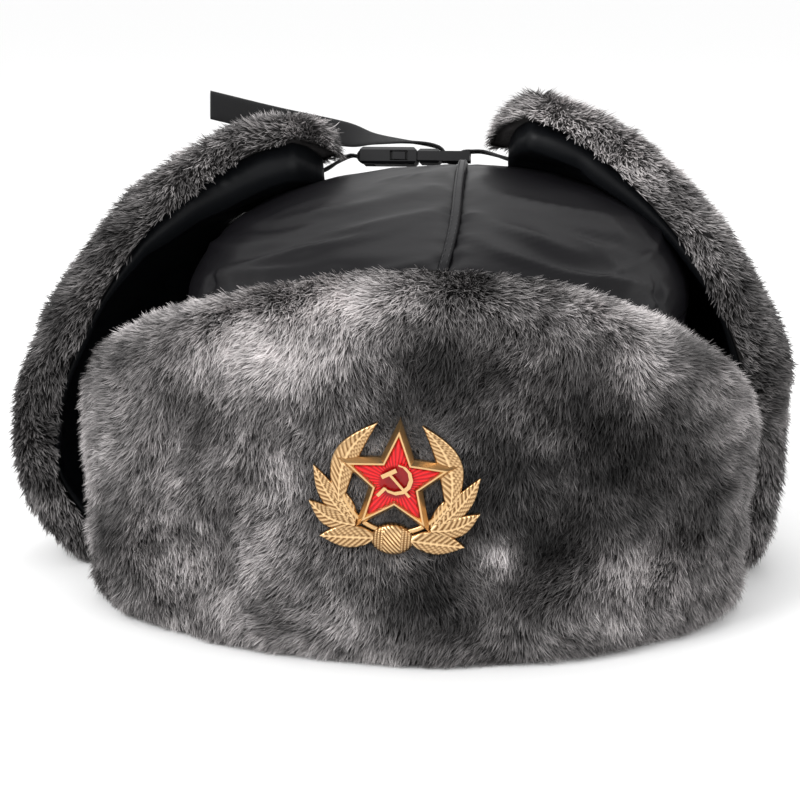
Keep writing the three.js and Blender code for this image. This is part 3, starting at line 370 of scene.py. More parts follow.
# Objects
def mesh_object(name, points, faces, material, body="root", flat=False):
    """A piece from points in millimetres; faces is a list or an array of corners."""
    mesh = bpy.data.meshes.new(name)
    points = np.asarray(points, np.float32) * MM
    if isinstance(faces, np.ndarray):
        count, corners = faces.shape
        mesh.vertices.add(len(points))
        mesh.vertices.foreach_set("co", points.ravel())
        mesh.loops.add(count * corners)
        mesh.loops.foreach_set("vertex_index", faces.astype(np.int32).ravel())
        mesh.polygons.add(count)
        mesh.polygons.foreach_set("loop_start", np.arange(0, count * corners, corners, dtype=np.int32))
        mesh.update(calc_edges=True)
    else:
        mesh.from_pydata(points.tolist(), [], faces)
    mesh.polygons.foreach_set("use_smooth", np.full(len(mesh.polygons), not flat))
    mesh.materials.append(material)
    piece = bpy.data.objects.new(name, mesh)
    bpy.context.scene.collection.objects.link(piece)
    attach(piece, body)
    return piece


def grid_faces(rows, columns, start=0, wrap=False):
    """Quads of a grid whose point (i, j) is start + i * columns + j."""
    i, j = np.meshgrid(np.arange(rows if wrap else rows - 1), np.arange(columns - 1), indexing="ij")
    after = (i + 1) % rows
    quads = np.stack([i * columns + j, after * columns + j, after * columns + j + 1, i * columns + j + 1], -1)
    return quads.reshape(-1, 4) + start


def slab(outer, inner, wrap=False):
    """Points and quads of a closed sheet between two grids of points."""
    rows, columns = outer.shape[:2]
    points = np.concatenate([outer.reshape(-1, 3), inner.reshape(-1, 3)])
    offset = rows * columns
    faces = [grid_faces(rows, columns, 0, wrap), grid_faces(rows, columns, offset, wrap)[:, ::-1]]

    def rim(ids, close):
        ids = np.asarray(ids)
        after = np.roll(ids, -1) if close else ids[1:]
        ids = ids if close else ids[:-1]
        return np.stack([after, ids, ids + offset, after + offset], -1)

    index = np.arange(rows * columns).reshape(rows, columns)
    if wrap:
        faces += [rim(index[:, 0], True), rim(index[::-1, -1], True)]
    else:
        around = np.concatenate([index[:-1, 0], index[-1, :-1], index[:0:-1, -1], index[0, :0:-1]])
        faces.append(rim(around, True))
    return points, np.concatenate(faces)


# Materials
def new_material(name, colour=(0.5, 0.5, 0.5), roughness=0.5, **sockets):
    """A Principled material; other sockets are given by name with _ for a space."""
    material = bpy.data.materials.new(name)
    material.use_nodes = True
    tree = material.node_tree
    shader = tree.nodes["Principled BSDF"]
    shader.inputs["Base Color"].default_value = (*colour, 1)
    shader.inputs["Roughness"].default_value = roughness
    for socket, value in sockets.items():
        shader.inputs[socket.replace("_", " ")].default_value = value
    return material, tree, shader


def add_bump(tree, shader, height, strength, distance):
    """Feeds a height to the shader's normal."""
    bump = tree.nodes.new("ShaderNodeBump")
    bump.inputs["Strength"].default_value = strength
    bump.inputs["Distance"].default_value = distance * MM
    tree.links.new(height, bump.inputs["Height"])
    previous = shader.inputs["Normal"].links
    if previous:
        tree.links.new(previous[0].from_socket, bump.inputs["Normal"])
    tree.links.new(bump.outputs["Normal"], shader.inputs["Normal"])


def scaled_places(tree, scale, source="Object"):
    """Object or UV coordinates with each axis scaled."""
    places = tree.nodes.new("ShaderNodeTexCoord")
    mapping = tree.nodes.new("ShaderNodeMapping")
    mapping.inputs["Scale"].default_value = scale
    tree.links.new(places.outputs[source], mapping.inputs["Vector"])
    return mapping.outputs["Vector"]


def noise_height(tree, scale, detail, source="Object"):
    texture = tree.nodes.new("ShaderNodeTexNoise")
    texture.inputs["Scale"].default_value = 1.0
    texture.inputs["Detail"].default_value = detail
    tree.links.new(scaled_places(tree, scale, source), texture.inputs["Vector"])
    return texture.outputs["Fac"]


def coloured_by(tree, shader, layer):
    colour = tree.nodes.new("ShaderNodeVertexColor")
    colour.layer_name = layer
    tree.links.new(colour.outputs["Color"], shader.inputs["Base Color"])


def fur_material():
    """Pile that runs from a dark root to a light tip, which each strand carries in its own colour."""
    material, tree, shader = new_material("fur", roughness=0.6, Specular_IOR_Level=0.3)
    coloured_by(tree, shader, "pile")
    return material


def undercoat_material():
    """Dense wool in the tone of the pile above it."""
    material, tree, shader = new_material("undercoat", roughness=0.95, Specular_IOR_Level=0.05)
    coloured_by(tree, shader, "pile")
    add_bump(tree, shader, noise_height(tree, (900, 900, 900), 2), 0.6, 0.6)
    return material


def nylon_material(name, colour, roughness, sheen):
    """Satin nylon: fine crossing threads and small soft creases."""
    material, tree, shader = new_material(
        name, colour, roughness, Specular_IOR_Level=0.13, Sheen_Weight=sheen, Sheen_Roughness=0.35,
    )
    for scale in ((2600, 2600, 120), (120, 120, 2600)):
        add_bump(tree, shader, noise_height(tree, scale, 1), 0.12, 0.05)
    add_bump(tree, shader, noise_height(tree, (55, 55, 130), 3), 0.5, 0.55)
    return material


def webbing_material():
    """Ribbed woven tape; its UV map runs in millimetres across and along."""
    material, tree, shader = new_material("webbing", (0.008, 0.008, 0.009), 0.7, Specular_IOR_Level=0.25, Sheen_Weight=0.06)
    for direction, scale in (("X", (0.9, 0.55, 1)), ("Y", (0.35, 1.1, 1))):
        wave = tree.nodes.new("ShaderNodeTexWave")
        wave.wave_type = "BANDS"
        wave.bands_direction = direction
        wave.inputs["Scale"].default_value = 1.0
        wave.inputs["Distortion"].default_value = 0.6
        tree.links.new(scaled_places(tree, scale, "UV"), wave.inputs["Vector"])
        add_bump(tree, shader, wave.outputs["Fac"], 0.7, 0.3)
    return material


def plastic_material():
    material, tree, shader = new_material("plastic", (0.007, 0.007, 0.008), 0.4, Specular_IOR_Level=0.35)
    add_bump(tree, shader, noise_height(tree, (1500, 1500, 1500), 2), 0.15, 0.05)
    return material


def gold_material(name, layer=None):
    """Gilt metal, a little uneven; a struck piece carries painted shade in its hollows and painted highlights on its
    ridges in its own colour layer.
    """
    material, tree, shader = new_material(name, (0.62, 0.4, 0.19), 0.3, Metallic=1.0)
    if layer:
        coloured_by(tree, shader, layer)
    add_bump(tree, shader, noise_height(tree, (420, 420, 420), 3), 0.25, 0.12)
    return material


def enamel_material():
    material, tree, shader = new_material("enamel", roughness=0.3, Specular_IOR_Level=0.2, Coat_Weight=0.25, Coat_Roughness=0.08)
    coloured_by(tree, shader, "tone_and_painted_light")
    return material


FUR = fur_material()
UNDERCOAT = undercoat_material()
NYLON = nylon_material("nylon", (0.0045, 0.0042, 0.0052), 0.4, 0.0)
LINING_NYLON = nylon_material("lining_nylon", (0.004, 0.0045, 0.0055), 0.45, 0.0)
WEBBING = webbing_material()
PLASTIC = plastic_material()
GOLD = gold_material("gold")
STRUCK_GOLD = gold_material("struck_gold", "relief")
ENAMEL = enamel_material()
THREAD, _, _ = new_material("thread", (0.01, 0.01, 0.011), 0.55)


def colour_layer(piece, name, colours):
    layer = piece.data.color_attributes.new(name, "FLOAT_COLOR", "POINT")
    layer.data.foreach_set("color", np.asarray(colours, np.float32).ravel())


def corner_places(piece, per_point, name="UVMap"):
    """A UV map from a place for each point."""
    corners = np.empty(len(piece.data.loops), np.int32)
    piece.data.loops.foreach_get("vertex_index", corners)
    layer = piece.data.uv_layers.new(name=name)
    layer.data.foreach_set("uv", np.asarray(per_point, np.float32)[corners].ravel())


# The cockade's own frame: x to its right, y up, z out of its face, zero at the middle of the star
def badge_frame():
    place = Vector((BADGE_PLACE["x"] + SHIFT[0], BADGE_PLACE["y"] + SHIFT[1], BADGE_PLACE["z"]))
    turned = Matrix.Rotation(math.radians(90 + BADGE_PLACE["lean"]), 4, "X")
    return np.array(Matrix.Translation(place) @ turned @ Matrix.Rotation(math.radians(BADGE_PLACE["turn"]), 4, "Z"))


BADGE = badge_frame()
BADGE_BACK = np.linalg.inv(BADGE)


def moved_by(matrix, points):
    return points @ matrix[:3, :3].T + matrix[:3, 3]


def pressed_by_badge(points, depth):
    """Points of the pile kept behind the cockade, which sits in it."""
    local = moved_by(BADGE_BACK, points)
    x, y, z = local[..., 0], local[..., 1], local[..., 2]
    reach = np.hypot(x / BADGE_SEAT["half_width"], (y + BADGE_SEAT["drop"]) / BADGE_SEAT["half_height"])
    ceiling = -depth + BADGE_SEAT["rise"] * smooth((reach - 1) / BADGE_SEAT["soft"])
    near = (reach < 1 + BADGE_SEAT["soft"]) & (z > ceiling) & (z > -4 * VISOR_PILE)
    out = points.copy()
    local[..., 2] = np.where(near, ceiling, z)
    out[near] = moved_by(BADGE, local)[near]
    return out


# Fur
def view_axes():
    """The camera's right, up and back directions."""
    azimuth, elevation = math.radians(CAMERA["azimuth"]), math.radians(CAMERA["elevation"])
    right = np.array([math.cos(azimuth), math.sin(azimuth), 0.0])
    back = np.array([
        math.sin(azimuth) * math.cos(elevation), -math.cos(azimuth) * math.cos(elevation), math.sin(elevation),
    ])
    return right, np.cross(back, right), back


def seen_from_front(points):
    """Where points are seen from the hat's front: right and up, in millimetres at its middle."""
    right, up, back = view_axes()
    offset = points - np.array(CAMERA["target"])
    nearer = CAMERA["distance"] / (CAMERA["distance"] - offset @ back)
    return (offset @ right) * nearer, (offset @ up) * nearer


def patch_sum(points, patches, column_index):
    """Sum of the pile's soft patches (right, up, reach across, reach up, light, dent) at the points."""
    total = np.zeros(points.shape[:-1])
    across, up = seen_from_front(points)
    for patch in patches:
        x, z, reach_x, reach_z = patch[:4]
        off = ((across - x) / reach_x) ** 2 + ((up - z) / reach_z) ** 2
        total += patch[column_index] * np.exp(-off)
    return total


def pile_grid(surface, pile, orient, spec):
    """Grids of a panel: its base, outward normal, pile height and outer face with the outer normal."""
    u = np.linspace(spec["u"][0], spec["u"][1], spec["cells"][0])
    v = np.linspace(0.0, 1.0, spec["cells"][1])
    grid_u, grid_v = np.meshgrid(u, v, indexing="ij")
    base = placed(surface(grid_u, grid_v))
    normal = unit(softened(grid_normals(base) * orient, 10))
    height = pile(grid_u, grid_v)
    uneven = 0.08 * noise(base, 26.0, spec["seed"]) + 0.06 * noise(base, 9.0, spec["seed"] + 1)
    dent = patch_sum(base, spec.get("patches", ()), 5)
    full = height * np.clip(1 + uneven - dent / VISOR_PILE, 0.3, 1.08)
    outer = base + normal * (GAP + full)[..., None]
    turned = np.cross(np.gradient(outer, axis=0), np.gradient(outer, axis=1)) * orient
    size = np.linalg.norm(turned, axis=-1, keepdims=True)
    outward = turned / np.maximum(size, 1e-9)
    folded = (size < 1e-3) | ((outward * normal).sum(-1, keepdims=True) < -0.05)
    outward = unit(softened(np.where(folded, normal, outward), 3))
    return base, normal, full, outer, outward


def undercoat(name, base, normal, height, outer, outward, orient, spec):
    """The dense dark wool under the strands."""
    step = spec["coarse"]
    base, normal, height = base[::step, ::step], normal[::step, ::step], height[::step, ::step]
    outer, outward = outer[::step, ::step], outward[::step, ::step]
    bumps = 0.7 * noise(base, 6.0, spec["seed"] + 5) + 0.4 * noise(base, 3.0, spec["seed"] + 6)
    facing = np.clip((outward * normal).sum(-1), 0, 1)
    inset = spec["under"] - bumps * np.minimum(height / VISOR_PILE, 1)
    inset = np.minimum(inset, mix(spec["under"], 0.35 * height + 0.2, facing))
    coat = outer - outward * inset[..., None]
    sideways = outward - normal * (outward * normal).sum(-1, keepdims=True)
    back = base + normal * GAP - sideways * (0.8 * inset)[..., None]
    coat[..., 2] = np.maximum(coat[..., 2], FLOOR_GAP)
    back[..., 2] = np.maximum(back[..., 2], FLOOR_GAP)
    points, faces = slab(pressed_by_badge(coat, 1.4), back)
    if orient < 0:
        faces = faces[:, ::-1]
    wool = mesh_object(f"{name}_undercoat", points, faces, UNDERCOAT)
    # The wool's tone carries painted light and shade from the patches, with uneven tone of its own
    tone_and_painted_light = patch_sum(coat, spec.get("patches", ()), 4) + 0.8 * noise(coat, 2.6, spec["seed"] + 7)
    colours = np.ones((2, tone_and_painted_light.size, 4))
    colours[..., :3] = (spec["wool"] * np.exp(0.8 * tone_and_painted_light)).reshape(-1, 1) * np.array(FUR_TINT)
    colour_layer(wool, "pile", np.clip(colours, 0, 1))
    return wool


def fur_panel(name, surface, pile, orient, count, spec):
    """A panel of pile on surface(u, v): an undercoat, and strands that lie in swirls and gather in locks."""
    base, normal, height, outer, outward = pile_grid(surface, pile, orient, spec)
    under = undercoat(name, base, normal, height, outer, outward, orient, spec)
    seed = spec["seed"]
    rng = np.random.default_rng(seed)
    area = np.linalg.norm(np.cross(outer[1:, :-1] - outer[:-1, :-1], outer[:-1, 1:] - outer[:-1, :-1]), axis=-1)
    chosen = rng.choice(area.size, size=count, p=(area / area.sum()).ravel())
    at_i, at_j = np.divmod(chosen, area.shape[1])
    part_i, part_j = rng.random((count, 1)), rng.random((count, 1))

    def sample(grid):
        low_side = mix(grid[at_i, at_j], grid[at_i + 1, at_j], part_i)
        high_side = mix(grid[at_i, at_j + 1], grid[at_i + 1, at_j + 1], part_i)
        return mix(low_side, high_side, part_j)

    skin, out = sample(outer), unit(sample(outward))
    thick = sample(height[..., None])[:, 0]
    down = np.array(spec.get("comb", (0.0, 0.0, -1.0)))
    down = unit(down - out * (out @ down)[:, None] + 1e-6)
    swirl = 1.25 * noise(skin, 30.0, seed + 2) + 0.8 * noise(skin, 12.0, seed + 3) + rng.normal(0, 0.3, count)
    flow = down * np.cos(swirl)[:, None] + np.cross(out, down) * np.sin(swirl)[:, None]
    lift = spec["lift"] + 0.28 * noise(skin, 8.0, seed + 4) + rng.normal(0, 0.16, count)
    direction = unit(out * np.clip(lift, 0.12, 1.5)[:, None] + flow)
    fullness = np.clip(thick / spec["full"], 0, 1)
    length = spec["length"] * rng.uniform(0.7, 1.2, count) * (0.8 + 0.2 * fullness)
    facing = np.clip((out * unit(sample(normal))).sum(-1), 0, 1)
    depth = np.minimum(spec["depth"], mix(spec["depth"], 0.75 * thick + 0.6, facing)) * rng.uniform(0.9, 1.25, count)
    root = skin - out * depth[:, None]
    bend = (flow * 0.35 - out * 0.25) * rng.uniform(0.0, 1.0, count)[:, None]
    middle = root + direction * (length * 0.5)[:, None]
    tip = root + (direction + bend * 0.6) * length[:, None]

    # Locks: each strand leans towards the middle of its own lock, and locks differ in height and tone.
    cell = np.floor(skin / spec["lock"])
    jitter = np.stack([hashed(cell, seed + 20 + k) for k in range(3)], -1)
    pull = (cell + 0.15 + 0.7 * jitter) * spec["lock"] - skin
    pull -= out * (pull * out).sum(-1, keepdims=True)
    draw = np.clip(0.32 + 0.22 * rng.standard_normal(count), 0, 0.75)[:, None]
    lock = hashed(cell, seed + 31)
    tip = tip + pull * draw + out * (1.8 * (lock - 0.6))[:, None]
    middle = middle + pull * draw * 0.3

    side = unit(np.cross(direction, out + 0.5 * rng.standard_normal((count, 3))))
    half = (spec["width"] * rng.uniform(0.35, 0.65, count))[:, None]
    points = np.stack([root, middle - side * half, middle + side * half, tip], 1)
    points = pressed_by_badge(points, 0.35)
    points[..., 2] = np.maximum(points[..., 2], FLOOR_GAP)
    index = np.arange(count)[:, None] * 4
    triangles = np.concatenate([index + [0, 1, 2], index + [1, 3, 2]], 1).reshape(-1, 3)
    coat = mesh_object(f"{name}_strands", points.reshape(-1, 3), triangles, FUR)

    # Tone: dark roots and light tips, by lock, by swirl, and painted light and shade from the broad patches seen on
    # the hat from the front.
    tone_and_painted_light = 0.8 * (lock - 0.5) + 0.35 * noise(skin, 16.0, seed + 8) + 0.65 * noise(skin, 6.0, seed + 9)
    tone_and_painted_light = tone_and_painted_light + patch_sum(skin, spec.get("patches", ()), 4) + rng.normal(0, 0.25, count)
    tip_value = spec["tip"] * np.exp(tone_and_painted_light)
    middle_value = spec["middle"] * np.exp(tone_and_painted_light)
    root_value = np.full(count, spec["root"])
    values = np.stack([root_value, middle_value, middle_value, tip_value], 1)
    colours = np.ones((count, 4, 4), np.float32)
    colours[..., :3] = np.clip(values, 0, 0.8)[..., None] * np.array(FUR_TINT)
    colour_layer(coat, "pile", colours)
    across = math.ceil(math.sqrt(count))
    cell_u, cell_v = np.arange(count) % across, np.arange(count) // across
    corner = np.array([(0.5, 0.1), (0.2, 0.5), (0.8, 0.5), (0.5, 0.9)])
    places = (np.stack([cell_u, cell_v], -1)[:, None] + corner) / across
    corner_places(coat, places.reshape(-1, 2), "OFBake")
    return under, coat


def make_fur():
    share = 1.0
    for side, span, seed in (("left", (-1.0, 0.0), 11), ("right", (0.0, 1.0), 52)):
        spec = dict(PILE, cells=(97, 97), coarse=2, u=span, seed=seed, patches=VISOR_TONE_AND_LIGHT_PATCHES)
        for piece in fur_panel(f"visor_{side}", visor_point, visor_pile, 1.0, int(98000 * share), spec):
            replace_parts(piece, f"visor_fur_{side}")
    for side, ear in EARS.items():
        spec = dict(FLAP_PILE, cells=(97, 145), coarse=2, u=(0.0, 1.0), seed=93 + ear["more"], patches=FLAP_TONE_AND_LIGHT_PATCHES)
        surface = lambda u, v, ear=ear: flap_point(ear, u, v)
        for piece in fur_panel(f"ear_{side}", surface, flap_pile, ear["side"], int(64000 * share), spec):
            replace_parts(piece, f"ear_flap_{side}_fur")
    spec = dict(FLAP_PILE, cells=(121, 61), coarse=2, u=(0.0, 1.0), seed=131)
    for piece in fur_panel("neck", neck_point, neck_pile, 1.0, int(42000 * share), spec):
        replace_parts(piece, "neck_flap_fur")


# Linings
def lining_sheet(name, surface, orient, u_span, v_span, cells, seed, hang=0.0):
    """A padded sheet inside surface(u, v), creased on its inner face, whose front corner may hang lower."""
    u, v = np.linspace(*u_span, cells[0]), np.linspace(*v_span, cells[1])
    grid_u, grid_v = np.meshgrid(u, v, indexing="ij")
    base = placed(surface(grid_u, grid_v))
    normal = grid_normals(base) * orient
    crease = 1 - np.abs(noise(base * np.array([0.6, 0.6, 1.0]), 15.0, seed))
    depth = LINING - LINING_CREASE * crease ** 3 - 0.25 * np.abs(noise(base, 5.0, seed + 1))
    outer, inner = base.copy(), base - normal * depth[..., None]
    inner[..., 2] -= hang * smooth((grid_v - 0.5) / 0.35) * (1 - smooth(grid_u / 0.6))
    outer[..., 2] = np.maximum(outer[..., 2], FLOOR_GAP)
    inner[..., 2] = np.maximum(inner[..., 2], FLOOR_GAP)
    points, faces = slab(outer, inner)
    if orient < 0:
        faces = faces[:, ::-1]
    piece = mesh_object(name, points, faces, LINING_NYLON)
    return piece


def make_linings():
    visor = lining_sheet("visor_lining_cloth", visor_point, 1.0, (-0.97, 0.97), (0.0, 0.975), (60, 24), 201)
    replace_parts(visor, "visor_backing")
    for side, ear in EARS.items():
        surface = lambda u, v, ear=ear: flap_point(ear, u, v)
        name, cells = f"ear_{side}_lining_cloth", (48, 64)
        sheet = lining_sheet(name, surface, ear["side"], (0.05, 1.0), (0.0, 0.965), cells, 205, ear["hang"])
        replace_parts(sheet, f"ear_flap_{side}_lining")
    neck = lining_sheet("neck_lining_cloth", neck_point, 1.0, (0.0, 1.0), (0.0, 0.9), (60, 24), 209)
    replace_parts(neck, "neck_flap_lining")


# Crown
def strap_dent(x, y):
    off = ((x - BUCKLE_PLACE["x"]) / DENT_WIDE) ** 2 + ((y - BUCKLE_PLACE["y"]) / DENT_LONG) ** 2
    return STRAP_DENT * np.exp(-off)


def fold_height(rows, angle, level):
    """Sum of soft folds (angle, level, spread, band, height, slope) at the places of the crown."""
    total = np.zeros(np.broadcast(angle, level).shape)
    for fold_angle, fold_level, spread, band, height, slope in rows:
        apart = (angle - fold_angle + 180) % 360 - 180
        off = (apart / spread) ** 2 + ((level - fold_level - slope * apart) / band) ** 2
        total += height * np.exp(-off)
    return total


def seam_shift(level):
    """How far the crown's twist carries the seam to the right."""
    return SEAM_SWAY * smooth(level / 0.85)


def dome_point(angle, level, depth):
    rise, reach = column(CROWN_LEVELS, 0, level), column(CROWN_LEVELS, 1, level)
    height = SHOULDER_HEIGHT + (CROWN_HEIGHT - SHOULDER_HEIGHT) * rise - depth * rise
    if depth == 0:
        height = height + fold_height(CROWN_FOLDS, angle, level) * np.sin(np.pi * np.minimum(level * 1.2, 1))
    share = depth / CROWN_WALL
    half_a, half_b = mix(RIM_A, HEAD_HALF_WIDTH, share), mix(RIM_B, HEAD_HALF_LENGTH, share)
    point = oval(reach * half_a, reach * half_b, angle, height)
    point[..., 2] -= strap_dent(point[..., 0], point[..., 1])
    point[..., 0] += seam_shift(level) * (1 - smooth(-point[..., 0] / SWAY_REACH))
    return point


def crown_relief(angle, level, point):
    """Creases of the nylon over the padding: tension folds, puckers at the seams and small wrinkles."""
    fade = np.sin(np.pi * np.clip(level * 1.05, 0, 1)) ** 0.5
    relief = fold_height(NYLON_FOLDS, angle, level) * fade
    off_seam = np.abs(point[..., 0] - seam_shift(level))
    pucker = np.sin(point[..., 1] * 2 * np.pi / PUCKER_PITCH + 2.5 * noise(point, 14.0, 301))
    relief += PUCKER_HEIGHT * np.exp(-off_seam / PUCKER_REACH) * pucker
    relief -= SEAM_PULL * np.exp(-((off_seam / (PUCKER_REACH * 0.5)) ** 2))
    for seam in SIDE_SEAMS:
        apart = ((angle - seam + 180) % 360 - 180) * math.radians(RIM_A)
        low_part = smooth((SIDE_SEAM_LEVEL - level) / 0.15)
        ripple = np.sin(point[..., 2] * 2 * np.pi / PUCKER_PITCH + 2 * noise(point, 9.0, 307))
        relief -= low_part * SEAM_PULL * 1.4 * np.exp(-((apart / 1.6) ** 2))
        relief += low_part * PUCKER_HEIGHT * 1.5 * np.exp(-np.abs(apart) / PUCKER_REACH) * ripple
    ridges = 1 - np.abs(noise(point * np.array([0.45, 0.8, 1.0]), 11.0, 311))
    relief += WRINKLE_HEIGHT * (ridges ** 4 - 0.35) * (0.6 + 0.4 * noise(point, 30.0, 313))
    return relief


def make_crown():
    for side, span in (("right", (0.0, 180.0)), ("left", (180.0, 360.0))):
        angle, level = np.meshgrid(np.linspace(*span, 121), np.linspace(0, 1, 49), indexing="ij")
        level = 1 - (1 - level) ** 1.25
        outer, inner = dome_point(angle, level, 0), dome_point(angle, level, CROWN_WALL)
        normal = grid_normals(dome_point(angle, np.minimum(level, 0.995), 0))
        normal[:, -1] = (0, 0, 1)
        outer = outer + normal * crown_relief(angle, level, outer)[..., None]
        aside = np.array([GAP / 2 if side == "right" else -GAP / 2, 0, 0])
        points, faces = slab(placed(outer + aside), placed(inner + aside))
        half = mesh_object(f"crown_{side}_cloth", points, faces, NYLON)
        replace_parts(half, f"crown_top_{side}")

    levels = np.linspace(5, SHOULDER_HEIGHT - GAP, 24)
    angle, height = np.meshgrid(np.linspace(0, 360, 161)[:-1], levels, indexing="ij")
    outer = oval(RIM_A, RIM_B, angle, height)
    inner = oval(HEAD_HALF_WIDTH, HEAD_HALF_LENGTH, angle, height)
    ridges = 1 - np.abs(noise(outer, 13.0, 321))
    outer = outer - unit(outer * np.array([1, 1, 0])) * (WRINKLE_HEIGHT * (1 - ridges ** 3))[..., None]
    points, faces = slab(placed(outer), placed(inner), wrap=True)
    band = mesh_object("crown_band_cloth", points, faces, NYLON)
    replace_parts(band, "crown_band")


def seam_spine():
    """The crown's centre line from front to back, as points and normals."""
    level = np.concatenate([np.linspace(0.02, 1, 120), np.linspace(1, 0.02, 120)[1:]])
    angle = np.concatenate([np.zeros(120), np.full(119, 180.0)])
    spine = dome_point(angle, level, 0)
    ahead = unit(np.gradient(spine, axis=0))
    return spine, np.stack([np.zeros(len(spine)), -ahead[:, 2], ahead[:, 1]], -1)


def make_seam_tape():
    spine, normal = seam_spine()
    across = np.linspace(-1, 1, 9)
    crowned = np.sqrt(np.clip(1 - np.abs(across) ** 4, 0, 1))
    wobble = noise(spine, 7.0, 331) * 0.12
    top, back = [], []
    for share, crown in zip(across, crowned):
        aside = np.array([share * TAPE_WIDTH / 2, 0, 0])
        lift = 0.25 + TAPE_THICKNESS * crown + wobble
        top.append(spine + aside + normal * lift[:, None])
        back.append(spine + aside - normal * 0.4)
    points, faces = slab(placed(np.stack(top)), placed(np.stack(back)))
    tape = mesh_object("crown_seam_strip", points, faces, NYLON)
    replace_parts(tape, "crown_seam_tape")

    along = np.concatenate([[0], np.cumsum(np.linalg.norm(np.diff(spine, axis=0), axis=-1))])
    points, faces = [], []
    for side in (-1, 1):
        for middle in np.arange(STITCH_PITCH, along[-1], STITCH_PITCH):
            ends = [middle - STITCH_LENGTH / 2, middle, middle + STITCH_LENGTH / 2]
            place = np.stack([[np.interp(t, along, spine[:, k]) for k in range(3)] for t in ends])
            lift = np.stack([[np.interp(t, along, normal[:, k]) for k in range(3)] for t in ends])
            place = place + lift * np.array([[0.75], [TAPE_THICKNESS + 0.4], [0.75]])
            place[:, 0] += side * (TAPE_WIDTH / 2 - 0.75)
            start = len(points)
            ring = [(1, 0, 0), (0, 0, 1), (-1, 0, 0), (0, 0, -1)]
            for centre, size in zip(place, (0.1, THREAD_RADIUS, 0.1)):
                points += [centre + np.array(step) * size for step in ring]
            for level in range(2):
                for k in range(4):
                    a, b = start + level * 4 + k, start + level * 4 + (k + 1) % 4
                    faces.append((a, b, b + 4, a + 4))
    stitches = mesh_object("crown_seam_stitches", placed(np.array(points)), faces, THREAD)
    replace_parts(stitches, "crown_seam_tape")


# Webbing
def smooth_line(points, count):
    """A Catmull-Rom curve through the points, evenly spaced in each span's chord."""
    points = np.asarray(points, float)
    ends = np.concatenate([[2 * points[0] - points[1]], points, [2 * points[-1] - points[-2]]])
    out = []
    for k in range(1, len(ends) - 2):
        p0, p1, p2, p3 = ends[k - 1:k + 3]
        steps = max(2, int(count * np.linalg.norm(p2 - p1)))
        for t in np.arange(steps) / steps:
            out.append(0.5 * (
                2 * p1 + (p2 - p0) * t + (2 * p0 - 5 * p1 + 4 * p2 - p3) * t ** 2
                + (3 * p1 - p0 - 3 * p2 + p3) * t ** 3
            ))
    out.append(points[-1])
    return np.array(out)


def ribbon(name, controls, node, closed=False):
    """Woven tape along points that carry the direction of its width, with rounded edges."""
    line = smooth_line([np.concatenate([place, across]) for place, across in controls], 1.2)
    place, across = line[:, :3], unit(line[:, 3:])
    normal = unit(np.cross(across, np.gradient(place, axis=0)))
    section = np.linspace(-1, 1, 13)
    crowned = np.clip(1 - np.abs(section) ** 6, 0.08, 1) ** 0.5
    rows = [
        place + across * share * WEBBING_WIDTH / 2 + sign * normal * crown * WEBBING_THICKNESS / 2
        for sign in (1, -1) for share, crown in zip(section, crowned)
    ]
    top, back = np.stack(rows[:13]), np.stack(rows[13:])
    points, faces = slab(placed(top), placed(back))
    piece = mesh_object(name, points, faces, WEBBING)
    along = np.concatenate([[0], np.cumsum(np.linalg.norm(np.diff(place, axis=0), axis=-1))])
    width = (section[:, None] * WEBBING_WIDTH / 2 + 0 * along).ravel()
    length = (0 * section[:, None] + along).ravel()
    corner_places(piece, np.tile(np.stack([width, length], -1), (2, 1)))
    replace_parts(piece, node)
    return piece


def on_buckle(x, z):
    """A place and the width's direction in the buckle's tilted frame."""
    tilt = math.radians(BUCKLE_PLACE["tilt"])
    place = np.array([x, -z * math.sin(tilt), z * math.cos(tilt)])
    middle = np.array([BUCKLE_PLACE["x"], BUCKLE_PLACE["y"], BUCKLE_PLACE["z"]])
    return middle + place, np.array([0, math.cos(tilt), math.sin(tilt)])


def under_flap(ear, turn, share):
    """Where a strap lies against the inside of a flap's lining."""
    step = 0.01
    at = lambda u, v: flap_point(ear, np.array(u), np.array(v))
    along_u, along_v = at(turn + step, share) - at(turn - step, share), at(turn, share + step) - at(turn, share - step)
    normal = unit(np.cross(along_u, along_v)) * ear["side"]
    depth = LINING + 2 * GAP + WEBBING_THICKNESS / 2
    return at(turn, share) - normal * depth, unit(at(turn + 2 * step, share) - at(turn - 2 * step, share))


def make_straps():
    bar = -SOCKET_LENGTH + BUCKLE_BAR / 2
    start = bar - BUCKLE_BAR / 2 - GAP - WEBBING_THICKNESS / 2
    left = [on_buckle(start, 0), on_buckle(start - 4, 0)]
    left += [under_flap(EARS["left"], turn, share) for turn, share in STRAP_LEFT]
    ribbon("strap_left_webbing", left, "strap_left")
    radius = BUCKLE_BAR / 2 + GAP + WEBBING_THICKNESS / 2
    turns = np.radians(np.linspace(0, 360, 25))
    loop = [on_buckle(bar + radius * math.cos(t), radius * math.sin(t)) for t in turns]
    ribbon("strap_left_loop", loop, "strap_left")

    right = [under_flap(EARS["right"], turn, share) for turn, share in STRAP_RIGHT]
    right += [on_buckle(x, z) for x, z in ADJUSTER_PATH]
    for x, y, lift, turn in TAIL_PATH:
        turn = math.radians(turn)
        right.append((np.array([x, y, CROWN_HEIGHT + lift]), np.array([0, math.cos(turn), math.sin(turn)])))
    ribbon("strap_right_webbing", right, "strap_right")


# Cockade
def badge_piece(name, points, faces, material, flat=False):
    return mesh_object(name, moved_by(BADGE, np.asarray(points, float)), faces, material, flat=flat)


